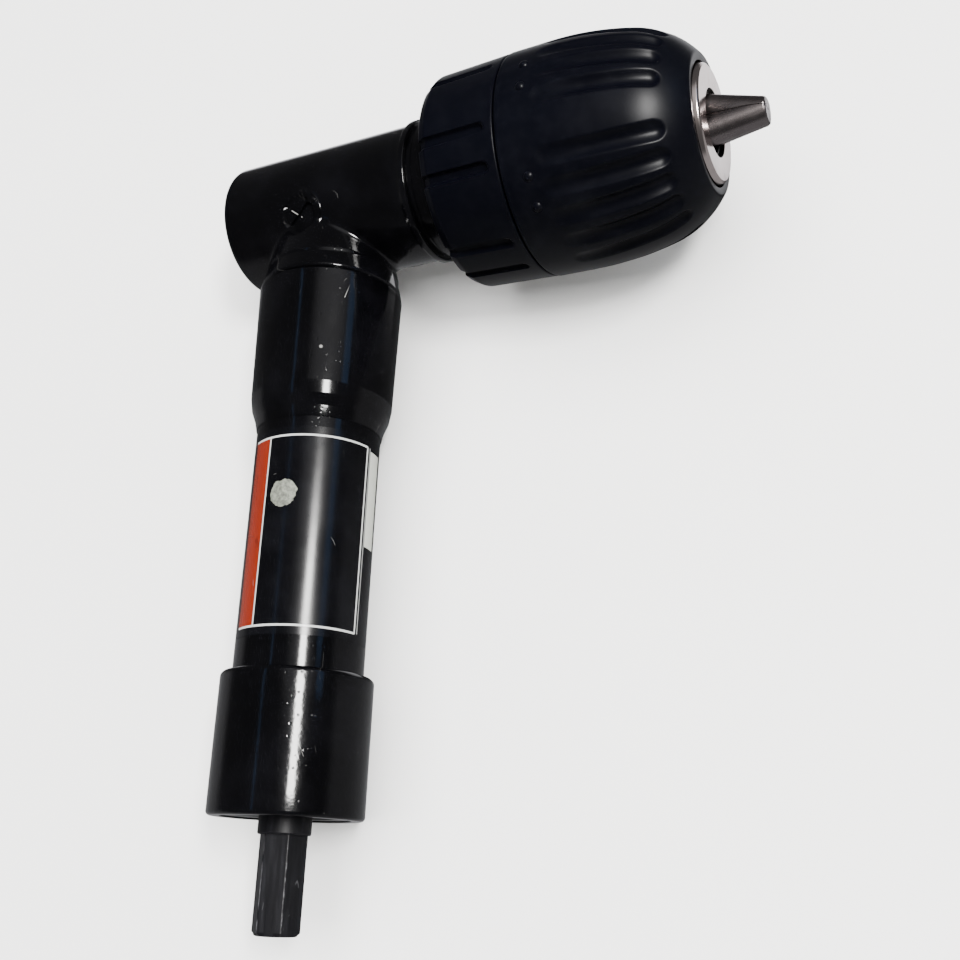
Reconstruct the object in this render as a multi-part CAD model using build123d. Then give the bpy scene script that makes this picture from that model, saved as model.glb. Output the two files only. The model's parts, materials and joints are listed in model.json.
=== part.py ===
from build123d import *
import math
import os

# Right angle attachment for a drill: hex shank, long barrel, angle head and keyless chuck.
# Millimetres. The model is drawn with the chuck axis along +X, the barrel along -Y and the
# crossing of the two axes at the origin, and is laid on its side on a table at the end.
# A station is a distance from that crossing, along +X on the chuck line and along -Y on the barrel line.
# An angle about the chuck line is zero upwards and grows towards the shank side.

# Driving dimensions of the hex shank and the input shaft
hex_across_flats = 7.94
shank_end_station = 146.1
hex_start_station = 128.8
shank_neck_radius = 4.9
shaft_radius = 5.0
shaft_collar_radius = 7.2
shaft_collar_width = 2.0
shank_chamfer = 0.6
shank_turn_angle = 13.0

# Driving dimensions of the roller bearings, the same size at both places
bearing_bore_radius = 6.0
bearing_outer_radius = 12.0
bearing_width = 6.0
bearing_roller_radius = 1.5
bearing_roller_length = 3.4
bearing_roller_count = 10
bearing_flange_overlap = 0.7
bearing_cage_thickness = 0.9
bearing_cage_width = 4.6
bearing_shield_thickness = 0.3
bearing_shield_inset = 0.3
front_bearing_station = 14.2
lower_bearing_station = 118.6

# Driving dimensions of the angle head casting
head_radius = 14.05
head_rear_station = -20.6
head_front_station = 24.5
head_edge_radius = 1.5
head_rim_height = 0.65
head_rim_width = 1.2
head_rim_chamfer = 0.3
gear_chamber_radius = 11.4
gear_chamber_rear_station = -9.5
saddle_start_station = 6.0
saddle_start_radius = 11.6
saddle_line_station = 15.8
saddle_line_radius = 13.95
saddle_line_width = 0.4
saddle_line_depth = 0.25
saddle_end_station = 19.8
saddle_end_radius = 14.7
neck_top_radius = 14.85
neck_bottom_radius = 14.3
neck_shoulder_station = 44.7
neck_curve_station = 47.0
neck_curve_radius = 13.95
neck_taper_station = 49.3
neck_taper_radius = 13.1
neck_end_station = 51.5
neck_end_lip = 0.15
line_groove_depth = 0.35
line_groove_width = 0.5

# Driving dimensions of the barrel tube and its lower collar
tube_radius = 12.4
tube_wall = 1.6
tube_top_station = 25.0
collar_radius = 14.5
collar_top_station = 100.0
collar_end_station = 126.0
collar_top_round = 2.0
collar_end_round = 0.9
clip_thickness = 1.0
clip_groove_depth = 0.6
clip_groove_play = 0.05
clip_reach = 1.5
clip_gap_width = 3.2
clip_ear_width = 1.6
label_start_station = 53.7
label_end_station = 94.2
label_thickness = 0.1
label_start_angle = -112.0
label_sweep_angle = 152.0

# Driving dimensions of the bushes, the rear plug and the grease plug
rear_bush_outer_radius = 7.5
rear_bush_length = 7.0
rear_plug_radius = 9.5
rear_plug_thickness = 2.6
rear_plug_dish_depth = 0.3
rear_plug_dish_edge = 2.5
rear_plug_rim_edge = 1.5
rear_plug_chamfer = 0.4
input_bush_outer_radius = 9.0
input_bush_start_station = 14.6
input_bush_end_station = 24.0
grease_plug_station = -1.0
grease_plug_angle = 28.0
grease_plug_head_radius = 3.5
grease_plug_head_height = 0.9
grease_plug_shank_radius = 2.4
grease_plug_slot_width = 0.9
grease_recess_radius = 4.0
grease_recess_depth = 1.25
grease_boss_wall = 1.2
grease_boss_height = 0.45
grease_boss_offset = 3.5

# Driving dimensions of the mitre gears
gear_module = 1.0
gear_teeth = 16
gear_face_width = 3.6
gear_backlash = 0.2
gear_root_clearance = 1.2
gear_rim_thickness = 0.5
gear_pressure_angle = 20.0
gear_hub_radius = 7.0
gear_hub_end_station = 13.6
gear_bore_radius = 4.0
gear_pin_radius = 1.0
gear_pin_recess = 0.2
gear_pin_station = 11.5

# Driving dimensions of the output spindle, its retainer and its seal
spindle_thread_radius = 4.76
spindle_end_station = 45.4
spindle_tapped_radius = 2.5
spindle_tapped_depth = 10.0
retainer_radius = 14.2
retainer_front_station = 30.3
retainer_chamfer = 1.2
retainer_bore_radius = 8.4
retainer_insert_wall = 1.5
retainer_web_thickness = 6.2
seal_width = 4.0
seal_recess = 0.4
spindle_nose_chamfer = 0.5

# Driving dimensions of the keyless chuck
chuck_rear_station = 31.0
chuck_hub_radius = 9.0
chuck_hub_length = 5.0
chuck_body_radius = 16.2
chuck_body_chamfer = 0.6
chuck_thrust_station = 55.6
chuck_groove_radius = 9.9
chuck_groove_end_station = 66.4
chuck_front_radius = 12.6
chuck_nose_radius = 9.4
chuck_nose_step_station = 77.0
chuck_nose_station = 82.4
chuck_bore_radius = 5.5
chuck_web_station = 45.8
chuck_web_thickness = 1.4
chuck_screw_shank_radius = 2.4
chuck_screw_hole_radius = 2.6
chuck_screw_slot_width = 1.2
chuck_screw_slot_depth = 1.2
chuck_screw_head_radius = 4.4
chuck_screw_head_height = 2.6

# Driving dimensions of the three jaws
jaw_count = 3
jaw_radius = 3.0
jaw_slope_angle = 15.5
jaw_tip_station = 93.1
jaw_tip_radius = 2.55
jaw_rear_station = 54.0
jaw_tooth_pitch = 1.411
jaw_tooth_depth = 0.6
jaw_tooth_steep_share = 0.25
jaw_tooth_start_station = 55.4
jaw_tooth_end_station = 81.5
jaw_first_angle = 63.0
jaw_tip_chamfer = 0.45
jaw_wedge_half_angle = 60.0

# Driving dimensions of the nut, its ring, the thrust bearing and the nose ring
nut_start_station = 58.6
nut_width = 7.0
nut_outer_radius = 16.8
nut_split_gap = 0.3
nut_ring_wall = 1.8
nut_ring_overhang = 0.6
nut_tooth_gap = 0.12
thrust_washer_thickness = 0.7
thrust_roller_radius = 1.0
thrust_roller_length = 2.4
thrust_roller_count = 12
thrust_circle_radius = 14.9
thrust_race_half_width = 1.3
nose_ring_radius = 11.3
nose_ring_bore_radius = 6.3
nose_ring_front_station = 82.9
nose_ring_rear_station = 77.4
nose_ring_round = 0.5
nose_ring_bore_chamfer = 0.2

# Driving dimensions of the two plastic sleeves
sleeve_seam_station = 47.7
sleeve_seam_gap = 0.3
front_sleeve_rear_station = 47.85
front_sleeve_rear_radius = 22.0
front_sleeve_radius = 22.1
front_sleeve_bend_station = 56.0
front_sleeve_shoulder_station = 72.0
front_sleeve_shoulder_radius = 20.2
front_sleeve_nose_station = 82.3
front_sleeve_nose_radius = 13.3
front_sleeve_flute_groups = 4
flutes_per_group = 5
flute_pitch_angle = 15.0
flute_first_angle = 32.0
flute_radius = 1.9
flute_end_depth = 0.55
flute_start_share = 0.09
flute_end_share = 0.4
sleeve_mouth_chamfer = 0.7
sleeve_ring_lip = 0.3
sleeve_lead_in = 2.0
sleeve_taper_length = 5.4
bumps_per_group = 2
bump_radius = 1.15
bump_station = 53.2
bump_height = 0.5
rear_sleeve_rear_station = 31.3
rear_sleeve_rear_radius = 20.5
rear_sleeve_shoulder = 0.9
rear_sleeve_front_radius = 21.9
rear_sleeve_inner_radius = 19.5
rear_sleeve_web_thickness = 2.4
rear_sleeve_edge_round = 1.6
rear_sleeve_edge_drop = 0.4
rear_sleeve_inner_chamfer = 0.6
rear_slot_pairs = 6
rear_slot_pair_angle = 19.5
rear_slot_first_angle = 20.5
rear_slot_half_width = 1.0
rear_slot_depth = 1.1
rear_slot_end_station = 44.6

# Clearances
fixed_fit = 0.02
running_fit = 0.04
jaw_fit = 0.05
free_gap = 0.3

# Values worked out from the driving dimensions
hex_corner_radius = hex_across_flats / math.sqrt(3)
jaw_slope = math.radians(jaw_slope_angle)
nut_end_station = nut_start_station + nut_width
nut_ring_radius = nut_outer_radius + nut_ring_wall
retainer_insert_radius = bearing_outer_radius - fixed_fit
seal_outer_radius = retainer_bore_radius - fixed_fit
lower_bearing_end_station = lower_bearing_station + bearing_width
front_bearing_end_station = front_bearing_station + bearing_width
tube_end_station = lower_bearing_station - shaft_collar_width / 2
pitch_radius = gear_module * gear_teeth / 2


def turned(points):
    """Solid of revolution about X from a closed outline of (station, radius) points."""
    outline = make_face(Polyline(*points, close=True))
    return revolve(outline, axis=Axis.X)


def turned_curves(*curves):
    """Solid of revolution about X from curves that join end to end into a closed outline."""
    edges = [edge for curve in curves for edge in curve.edges()]
    return revolve(make_face(edges), axis=Axis.X)


def corner_points(station, height, radius, start_angle, end_angle):
    """Points of a rounded corner in three steps; zero degrees is forwards and ninety is outwards."""
    points = []
    for step in range(4):
        turn = math.radians(start_angle + (end_angle - start_angle) * step / 3)
        points.append((station + radius * math.cos(turn), height + radius * math.sin(turn)))
    return points


def rod(start, end, radius):
    """Round bar on the X axis between two stations."""
    return turned([(start, 0), (end, 0), (end, radius), (start, radius)])


def ring(start, end, inner, outer):
    """Plain ring on the X axis between two stations."""
    return turned([(start, inner), (end, inner), (end, outer), (start, outer)])


def around_axis(shape, angle):
    """Copy of a shape turned about the X axis, from up towards the shank side."""
    return Rot(angle, 0, 0) * shape


def on_barrel_line(shape):
    """Carries what is drawn along +X to the barrel line, which runs along -Y."""
    return Rot(0, 0, -90) * shape


def jaw_axis_radius(station):
    """Distance of a closed jaw's centre line from the chuck axis at a station."""
    outer_line = jaw_tip_radius + (jaw_tip_station - station) * math.tan(jaw_slope)
    return outer_line - jaw_radius / math.cos(jaw_slope)


def jaw_outer_radius(station):
    """Distance of a closed jaw's outermost line from the chuck axis at a station."""
    return jaw_tip_radius + (jaw_tip_station - station) * math.tan(jaw_slope)


def jaw_cylinder(radius, start, end):
    """Cylinder on the sloping centre line of the jaw that points up, between two stations."""
    rear = Vector(start, 0, jaw_axis_radius(start))
    front = Vector(end, 0, jaw_axis_radius(end))
    axis_plane = Plane(origin=rear, z_dir=front - rear)
    return extrude(axis_plane * Circle(radius), amount=(front - rear).length)


def mitre_gear(first_tooth_angle):
    """Straight-tooth mitre gear on the X axis, with its cone apex at the origin.

    The flanks are involutes of the virtual spur gear on the back cone. Every section is
    the large end scaled towards the apex.
    """
    cone_angle = math.radians(45)
    pressure = math.radians(gear_pressure_angle)
    virtual_pitch = pitch_radius / math.cos(cone_angle)
    virtual_base = virtual_pitch * math.cos(pressure)
    virtual_tip = virtual_pitch + gear_module
    dedendum = gear_root_clearance * gear_module
    virtual_root = virtual_pitch - dedendum
    pitch_half_angle = (math.pi * gear_module - gear_backlash) / (4 * virtual_pitch)
    involute_at_pitch = math.tan(pressure) - pressure

    def half_angle(virtual_radius):
        """Half the tooth's angle on the back cone at a radius."""
        if virtual_radius <= virtual_base:
            return pitch_half_angle + involute_at_pitch
        roll = math.acos(virtual_base / virtual_radius)
        return pitch_half_angle + involute_at_pitch - (math.tan(roll) - roll)

    def in_section(virtual_radius, virtual_angle):
        """Point of the back cone projected from the apex to the plane of the pitch circle."""
        radius = virtual_radius * math.cos(cone_angle)
        station = 2 * pitch_radius - virtual_radius * math.sin(cone_angle)
        angle = virtual_angle / math.cos(cone_angle)
        return radius * pitch_radius / station, angle

    flank_radii = [virtual_root, virtual_base, 0.5 * (virtual_base + virtual_pitch), virtual_pitch,
                   0.5 * (virtual_pitch + virtual_tip), virtual_tip]
    outline = []
    for tooth in range(gear_teeth):
        centre = math.radians(first_tooth_angle) + 2 * math.pi * tooth / gear_teeth
        rising = [in_section(radius, -half_angle(radius)) for radius in flank_radii]
        falling = [in_section(radius, half_angle(radius)) for radius in reversed(flank_radii)]
        for radius, angle in rising + falling:
            outline.append((-radius * math.sin(centre + angle), radius * math.cos(centre + angle)))

    def section(station):
        """Whole toothed outline at a station, scaled towards the apex."""
        scale = station / pitch_radius
        corners = [(station, y * scale, z * scale) for y, z in outline]
        return Face(Wire.make_polygon([Vector(*corner) for corner in corners], close=True))

    cone_distance = pitch_radius / math.sin(cone_angle)
    small_scale = (cone_distance - gear_face_width) / cone_distance
    small_station = small_scale * (pitch_radius - gear_module * math.sin(cone_angle))
    large_station = pitch_radius + dedendum * math.sin(cone_angle) + gear_rim_thickness
    teeth = loft([section(small_station * 0.9), section(large_station)], ruled=True)
    back_reach = pitch_radius + 2 * gear_module
    front_reach = back_reach * small_scale
    blank = turned([
        (2 * pitch_radius * small_scale - front_reach, front_reach),
        (2 * pitch_radius - back_reach, back_reach),
        (2 * pitch_radius - gear_hub_radius, gear_hub_radius),
        (gear_hub_end_station, gear_hub_radius),
        (gear_hub_end_station, gear_bore_radius + fixed_fit),
        (small_station, gear_bore_radius + fixed_fit),
        (small_station, 2 * pitch_radius * small_scale - small_station),
    ])
    hub = ring(2 * pitch_radius - gear_hub_radius, gear_hub_end_station,
               gear_bore_radius + fixed_fit, gear_hub_radius)
    pin_hole = gear_pin(gear_pin_radius + fixed_fit, gear_hub_radius + 1)
    return (teeth & blank) + hub - pin_hole


def gear_pin(radius, half_length):
    """Cross pin through a gear hub and its shaft."""
    middle = Plane(origin=(gear_pin_station, 0, 0), z_dir=(0, 0, 1))
    return extrude(middle * Circle(radius), amount=half_length, both=True)


def bearing_parts(station):
    """Roller bearing on the X axis: outer race, inner race, rollers, cage and front shield."""
    end = station + bearing_width
    middle = station + bearing_width / 2
    circle = (bearing_bore_radius + bearing_outer_radius) / 2
    track = bearing_roller_radius + running_fit
    flange = circle + bearing_roller_radius - bearing_flange_overlap
    half_track = bearing_roller_length / 2 + running_fit
    outer_wall = bearing_outer_radius - fixed_fit / 2
    outer = turned([
        (station, outer_wall), (end, outer_wall), (end, flange), (middle + half_track, flange),
        (middle + half_track, circle + track), (middle - half_track, circle + track),
        (middle - half_track, flange), (station, flange),
    ])
    inner = ring(station, end, bearing_bore_radius + fixed_fit / 2, circle - track)
    step = 360 / bearing_roller_count
    roller = Pos(0, 0, circle) * rod(middle - bearing_roller_length / 2, middle + bearing_roller_length / 2,
                                     bearing_roller_radius)
    rollers = [around_axis(roller, step * number) for number in range(bearing_roller_count)]
    half_cage = bearing_cage_thickness / 2
    cage_start = middle - bearing_cage_width / 2
    cage = ring(cage_start, cage_start + bearing_cage_width, circle - half_cage, circle + half_cage)
    window = Pos(middle, 0, circle) * Box(2 * half_track, 2 * track, 2 * track)
    for number in range(bearing_roller_count):
        cage = cage - around_axis(window, step * number)
    shield_end = end - bearing_shield_inset
    shield = ring(shield_end - bearing_shield_thickness, shield_end, circle - track + running_fit,
                  flange - fixed_fit)
    return outer, inner, Compound(children=rollers), cage, shield


def head_casting():
    """T-shaped casting: cross barrel for the spindle and a flared neck for the barrel tube."""
    rear = head_rear_station
    front = head_front_station
    rim_radius = head_radius + head_rim_height
    edge = head_edge_radius
    cross = turned([
        *corner_points(rear + edge, head_radius - edge, edge, 180, 90),
        (front - head_rim_width - head_rim_height, head_radius), (front - head_rim_width, rim_radius),
        (front - head_rim_chamfer, rim_radius), (front, rim_radius - head_rim_chamfer), (front, 0), (rear, 0),
    ])
    groove_start = saddle_end_station
    neck = on_barrel_line(turned([
        (0, 0), (neck_end_station, 0), (neck_end_station, tube_radius + neck_end_lip),
        (neck_taper_station, neck_taper_radius), (neck_curve_station, neck_curve_radius),
        (neck_shoulder_station, neck_bottom_radius),
        (groove_start + 2 * line_groove_width, neck_top_radius),
        (groove_start + line_groove_width, saddle_end_radius - line_groove_depth),
        (groove_start, saddle_end_radius),
        (saddle_line_station + saddle_line_width, saddle_line_radius - saddle_line_depth),
        (saddle_line_station, saddle_line_radius),
        (saddle_start_station, saddle_start_radius), (0, saddle_start_radius),
    ]))
    casting = cross + neck
    boss_top = head_radius + grease_boss_height
    boss = grease_axis(grease_recess_radius + grease_boss_wall, gear_chamber_radius + 0.1, boss_top)
    size = 4 * head_radius
    boss_side = Pos(grease_plug_station + grease_boss_offset + size / 2, 0, 0) * Box(size, size, size)
    casting = casting + (boss & boss_side)
    bores = [
        rod(rear - 1, rear + rear_plug_thickness, rear_plug_radius + fixed_fit),
        rod(rear, gear_chamber_rear_station + 0.1, rear_bush_outer_radius + fixed_fit),
        rod(gear_chamber_rear_station, front_bearing_station, gear_chamber_radius),
        rod(front_bearing_station, front + 1, bearing_outer_radius + fixed_fit),
        on_barrel_line(rod(0, tube_top_station, input_bush_outer_radius + fixed_fit)),
        on_barrel_line(rod(tube_top_station, neck_end_station + 1, tube_radius + fixed_fit)),
        grease_axis(grease_plug_shank_radius + running_fit, gear_chamber_radius - 1, boss_top + 1),
        grease_axis(grease_recess_radius, head_radius - grease_recess_depth, boss_top + 1),
    ]
    for bore in bores:
        casting = casting - bore
    return casting


def grease_axis(radius, start, end):
    """Cylinder on the line of the grease plug, between two distances from the chuck axis."""
    post = Pos(grease_plug_station, 0, start) * extrude(Circle(radius), amount=end - start)
    return around_axis(post, grease_plug_angle)


def grease_plug():
    """Slotted screw plug that closes the grease hole in the side of the head."""
    seat = head_radius - grease_recess_depth
    top = seat + grease_plug_head_height
    plug = grease_axis(grease_plug_head_radius, seat + fixed_fit, top)
    plug = plug + grease_axis(grease_plug_shank_radius, gear_chamber_radius + 0.1, seat + 0.2)
    slot = Pos(grease_plug_station, 0, top) * Box(
        2 * grease_plug_head_radius + 1, grease_plug_slot_width, grease_plug_head_height)
    return plug - around_axis(slot, grease_plug_angle)


def rear_plug():
    """Cap pressed into the rear of the head behind the spindle bush."""
    rear = head_rear_station
    radius = rear_plug_radius
    return turned([
        (rear + rear_plug_dish_depth, 0), (rear + rear_plug_dish_depth, radius - rear_plug_dish_edge),
        (rear, radius - rear_plug_rim_edge), (rear, radius - rear_plug_chamfer),
        (rear + rear_plug_chamfer, radius), (rear + rear_plug_thickness - running_fit, radius),
        (rear + rear_plug_thickness - running_fit, 0),
    ])


def barrel_tube():
    """Plain steel tube between the neck and the lower collar."""
    inner = tube_radius - tube_wall
    return on_barrel_line(ring(tube_top_station + running_fit, tube_end_station, inner, tube_radius))


def lower_collar():
    """Heavy collar at the shank end, which holds the tube and the lower bearing."""
    top = collar_top_station
    end = collar_end_station
    groove = lower_bearing_end_station + clip_groove_play
    groove_end = groove + clip_thickness + clip_groove_play
    groove_wall = bearing_outer_radius + clip_groove_depth
    seat = bearing_outer_radius + fixed_fit
    shoulder = tube_end_station + fixed_fit
    body = turned([
        *corner_points(top + collar_top_round, collar_radius - collar_top_round, collar_top_round, 180, 90),
        *corner_points(end - collar_end_round, collar_radius - collar_end_round, collar_end_round, 90, 0),
        (end, seat), (groove_end, seat), (groove_end, groove_wall), (groove, groove_wall), (groove, seat),
        (shoulder, seat), (shoulder, tube_radius + fixed_fit), (top, tube_radius + fixed_fit),
    ])
    return on_barrel_line(body)


def collar_clip():
    """Internal retaining ring that holds the lower bearing in the collar."""
    start = lower_bearing_end_station + 1.5 * clip_groove_play
    wall = bearing_outer_radius + clip_groove_depth - 2 * clip_groove_play
    clip = ring(start, start + clip_thickness, bearing_outer_radius - clip_reach, wall)
    gap = Pos(start, 0, bearing_outer_radius) * Box(4 * clip_thickness, clip_gap_width, 4 * clip_reach)
    clip = clip - gap
    ear_place = clip_gap_width / 2 + clip_ear_width / 2
    ear = Pos(start + clip_thickness / 2, 0, bearing_outer_radius - clip_reach) * Box(
        clip_thickness, clip_ear_width, clip_reach)
    for side in (-1, 1):
        clip = clip + Pos(0, side * ear_place, 0) * ear
    return on_barrel_line(clip)


def label_film():
    """Blank label wrapped round the barrel tube."""
    film = ring(label_start_station, label_end_station, tube_radius, tube_radius + label_thickness)
    section = Plane.YZ * make_face(
        Polyline((0, 0), *sector_corners(label_start_angle, label_sweep_angle, 3 * tube_radius), close=True))
    wedge = extrude(section, amount=label_end_station + 10)
    return on_barrel_line(film & wedge)


def sector_corners(start, sweep, radius):
    """Corners of a wide sector about the X axis, measured from up towards the shank side."""
    steps = 6
    corners = []
    for step in range(steps + 1):
        angle = math.radians(start + sweep * step / steps)
        corners.append((-radius * math.sin(angle), radius * math.cos(angle)))
    return corners


def input_shaft():
    """Shaft through the barrel with a hexagonal shank and a seat for the pinion."""
    end = hex_start_station + 0.5
    collar_start = lower_bearing_station - shaft_collar_width
    shaft = turned([
        (gear_seat_start(), 0), (end, 0), (end, shank_neck_radius),
        (lower_bearing_end_station + free_gap, shank_neck_radius),
        (lower_bearing_end_station + free_gap, bearing_bore_radius - fixed_fit / 2),
        (lower_bearing_station - running_fit, bearing_bore_radius - fixed_fit / 2),
        (lower_bearing_station - running_fit, shaft_collar_radius), (collar_start, shaft_collar_radius),
        (collar_start, shaft_radius), (gear_hub_end_station + free_gap, shaft_radius),
        (gear_hub_end_station + free_gap, gear_bore_radius), (gear_seat_start(), gear_bore_radius),
    ])
    hexagon = Plane(origin=(hex_start_station, 0, 0), z_dir=(1, 0, 0)) * RegularPolygon(
        hex_corner_radius, 6, rotation=shank_turn_angle)
    shank = extrude(hexagon, amount=shank_end_station - hex_start_station)
    tip = turned([
        (hex_start_station, 0), (shank_end_station, 0),
        (shank_end_station, hex_corner_radius - shank_chamfer),
        (shank_end_station - shank_chamfer, hex_corner_radius + 0.1),
        (hex_start_station, hex_corner_radius + 0.1),
    ])
    shaft = shaft + (shank & tip) - gear_pin(gear_pin_radius + fixed_fit, gear_hub_radius)
    return on_barrel_line(shaft)


def gear_seat_start():
    """Station at which the pinion's small end face begins."""
    cone_distance = pitch_radius * math.sqrt(2)
    small_scale = (cone_distance - gear_face_width) / cone_distance
    return small_scale * (pitch_radius - gear_module / math.sqrt(2))


def spindle():
    """Output spindle: rear journal, gear seat, bearing seat and threaded nose for the chuck."""
    rear = head_rear_station + rear_plug_thickness + free_gap
    nose = spindle_end_station
    shoulder = gear_hub_end_station + running_fit
    body = turned([
        (rear, 0), (nose, 0), (nose, spindle_thread_radius - spindle_nose_chamfer),
        (nose - spindle_nose_chamfer, spindle_thread_radius),
        (chuck_rear_station - running_fit, spindle_thread_radius),
        (chuck_rear_station - running_fit, bearing_bore_radius - fixed_fit / 2),
        (shoulder, bearing_bore_radius - fixed_fit / 2), (shoulder, gear_bore_radius),
        (rear + spindle_nose_chamfer, gear_bore_radius), (rear, gear_bore_radius - spindle_nose_chamfer),
    ])
    body = body - rod(nose - spindle_tapped_depth, nose + 1, spindle_tapped_radius)
    return body - gear_pin(gear_pin_radius + fixed_fit, gear_hub_radius)


def retainer():
    """Threaded ring that closes the front of the head and holds the spindle bearing."""
    start = front_bearing_end_station + running_fit
    front = retainer_front_station
    return turned([
        (start, retainer_insert_radius), (start, retainer_insert_radius - retainer_insert_wall),
        (front - retainer_web_thickness, retainer_insert_radius - retainer_insert_wall),
        (front - retainer_web_thickness, retainer_bore_radius),
        (front, retainer_bore_radius), (front, retainer_radius - retainer_chamfer),
        (front - retainer_chamfer, retainer_radius), (head_front_station + running_fit, retainer_radius),
        (head_front_station + running_fit, retainer_insert_radius),
    ])


def chuck_body():
    """Steel body of the chuck with three sloping jaw bores, nut groove and nose."""
    rear = chuck_rear_station
    hub_end = rear + chuck_hub_length
    body = turned([
        (rear, spindle_thread_radius + running_fit), (rear, chuck_hub_radius),
        (hub_end, chuck_hub_radius), (hub_end, chuck_body_radius - chuck_body_chamfer),
        (hub_end + chuck_body_chamfer, chuck_body_radius),
        (chuck_thrust_station, chuck_body_radius), (chuck_thrust_station, chuck_groove_radius),
        (chuck_groove_end_station, chuck_groove_radius), (chuck_groove_end_station, chuck_front_radius),
        (chuck_nose_step_station, chuck_front_radius), (chuck_nose_step_station, chuck_nose_radius),
        (chuck_nose_station, chuck_nose_radius), (chuck_nose_station, chuck_bore_radius),
        (chuck_web_station + chuck_web_thickness, chuck_bore_radius),
        (chuck_web_station + chuck_web_thickness, chuck_screw_hole_radius),
        (chuck_web_station, chuck_screw_hole_radius),
        (chuck_web_station, spindle_thread_radius + running_fit),
    ])
    bore = jaw_cylinder(jaw_radius + jaw_fit, chuck_rear_station + chuck_hub_length - 4, jaw_tip_station + 4)
    for number in range(jaw_count):
        body = body - around_axis(bore, jaw_angle(number))
    return body


def jaw_angle(number):
    """Angle of a jaw about the chuck axis."""
    return jaw_first_angle + number * 360 / jaw_count


def tooth_cutter():
    """Rings of saw teeth about the chuck axis, at the slope of the jaws' outer lines."""
    pitch_on_axis = jaw_tooth_pitch * math.cos(jaw_slope)
    count = int((jaw_tooth_end_station - jaw_tooth_start_station) / pitch_on_axis)
    points = []
    for number in range(count):
        station = jaw_tooth_start_station + number * pitch_on_axis
        crest = jaw_outer_radius(station)
        points.append((station, crest + 0.05))
        points.append((station + jaw_tooth_steep_share * pitch_on_axis, crest - jaw_tooth_depth))
    last = jaw_tooth_start_station + count * pitch_on_axis
    points.append((last, jaw_outer_radius(last) + 0.05))
    points.append((last, jaw_outer_radius(jaw_tooth_start_station) + 2))
    points.append((jaw_tooth_start_station, jaw_outer_radius(jaw_tooth_start_station) + 2))
    return turned(points)


def jaw(number):
    """One gripping jaw: a sloping round bar with a wedge nose and a row of teeth outside."""
    tip = jaw_tip_station
    bar = jaw_cylinder(jaw_radius, jaw_rear_station, tip + 8)
    reach = 40
    half = math.radians(jaw_wedge_half_angle)
    side = jaw_fit / 2 / math.sin(half)
    wedge_face = Plane.YZ * make_face(Polyline(
        (0, side), (reach * math.sin(half), side + reach * math.cos(half)), (reach, reach),
        (-reach, reach), (-reach * math.sin(half), side + reach * math.cos(half)), close=True))
    wedge = extrude(wedge_face, amount=tip + 20)
    envelope = turned([
        (jaw_rear_station - 5, 0), (tip, 0), (tip, jaw_tip_radius - jaw_tip_chamfer),
        (tip - jaw_tip_chamfer, jaw_tip_radius + fixed_fit), (tip - jaw_tip_chamfer, 30),
        (jaw_rear_station - 5, 30),
    ])
    shape = (bar & wedge & envelope) - tooth_cutter()
    return around_axis(shape, jaw_angle(number))


def nut_half(side):
    """One half of the split nut that drives the jaws."""
    start = nut_start_station
    end = nut_end_station
    whole = turned([
        (start, jaw_outer_radius(start) + nut_tooth_gap), (start, nut_outer_radius), (end, nut_outer_radius),
        (end, jaw_outer_radius(end) + nut_tooth_gap),
    ])
    size = 3 * nut_outer_radius
    block = Pos((start + end) / 2, 0, side * (size / 2 + nut_split_gap / 2)) * Box(size, size, size)
    return whole & block


def nut_ring():
    """Steel ring pressed over both nut halves, which carries the front sleeve."""
    start = nut_start_station
    end = nut_end_station
    return ring(start, end + nut_ring_overhang, nut_outer_radius + fixed_fit, nut_ring_radius)


def thrust_washer():
    """Hard race between the chuck body and the thrust rollers."""
    inner = thrust_circle_radius - thrust_race_half_width
    start = chuck_thrust_station + fixed_fit
    return ring(start, start + thrust_washer_thickness, inner, thrust_circle_radius + thrust_race_half_width)


def thrust_rollers():
    """Ring of short rollers under the nut, each on a line that crosses the chuck axis."""
    station = chuck_thrust_station + fixed_fit + thrust_washer_thickness + running_fit + thrust_roller_radius
    inner = thrust_circle_radius - thrust_roller_length / 2
    roller = Pos(station, 0, inner) * extrude(Circle(thrust_roller_radius), amount=thrust_roller_length)
    step = 360 / thrust_roller_count
    return Compound(children=[around_axis(roller, step * number) for number in range(thrust_roller_count)])


def nose_ring():
    """Bright pressed ring round the mouth of the chuck."""
    front = nose_ring_front_station
    rear = nose_ring_rear_station
    lip = chuck_nose_station + running_fit
    return turned([
        (rear, chuck_nose_radius + fixed_fit), (rear, nose_ring_radius),
        (front - nose_ring_round, nose_ring_radius), (front, nose_ring_radius - nose_ring_round),
        (front, nose_ring_bore_radius + nose_ring_bore_chamfer),
        (front - nose_ring_bore_chamfer, nose_ring_bore_radius),
        (lip, nose_ring_bore_radius), (lip, chuck_nose_radius + fixed_fit),
    ])


def chuck_screw():
    """Screw inside the chuck that locks it to the spindle."""
    seat = chuck_web_station + chuck_web_thickness
    screw = rod(spindle_end_station - spindle_tapped_depth + 1, seat + fixed_fit, chuck_screw_shank_radius)
    head = rod(seat + fixed_fit, seat + chuck_screw_head_height, chuck_screw_head_radius)
    slot = Pos(seat + chuck_screw_head_height, 0, 0) * Box(
        2 * chuck_screw_slot_depth, chuck_screw_slot_width, 3 * chuck_screw_head_radius)
    return screw + head - slot


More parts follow.
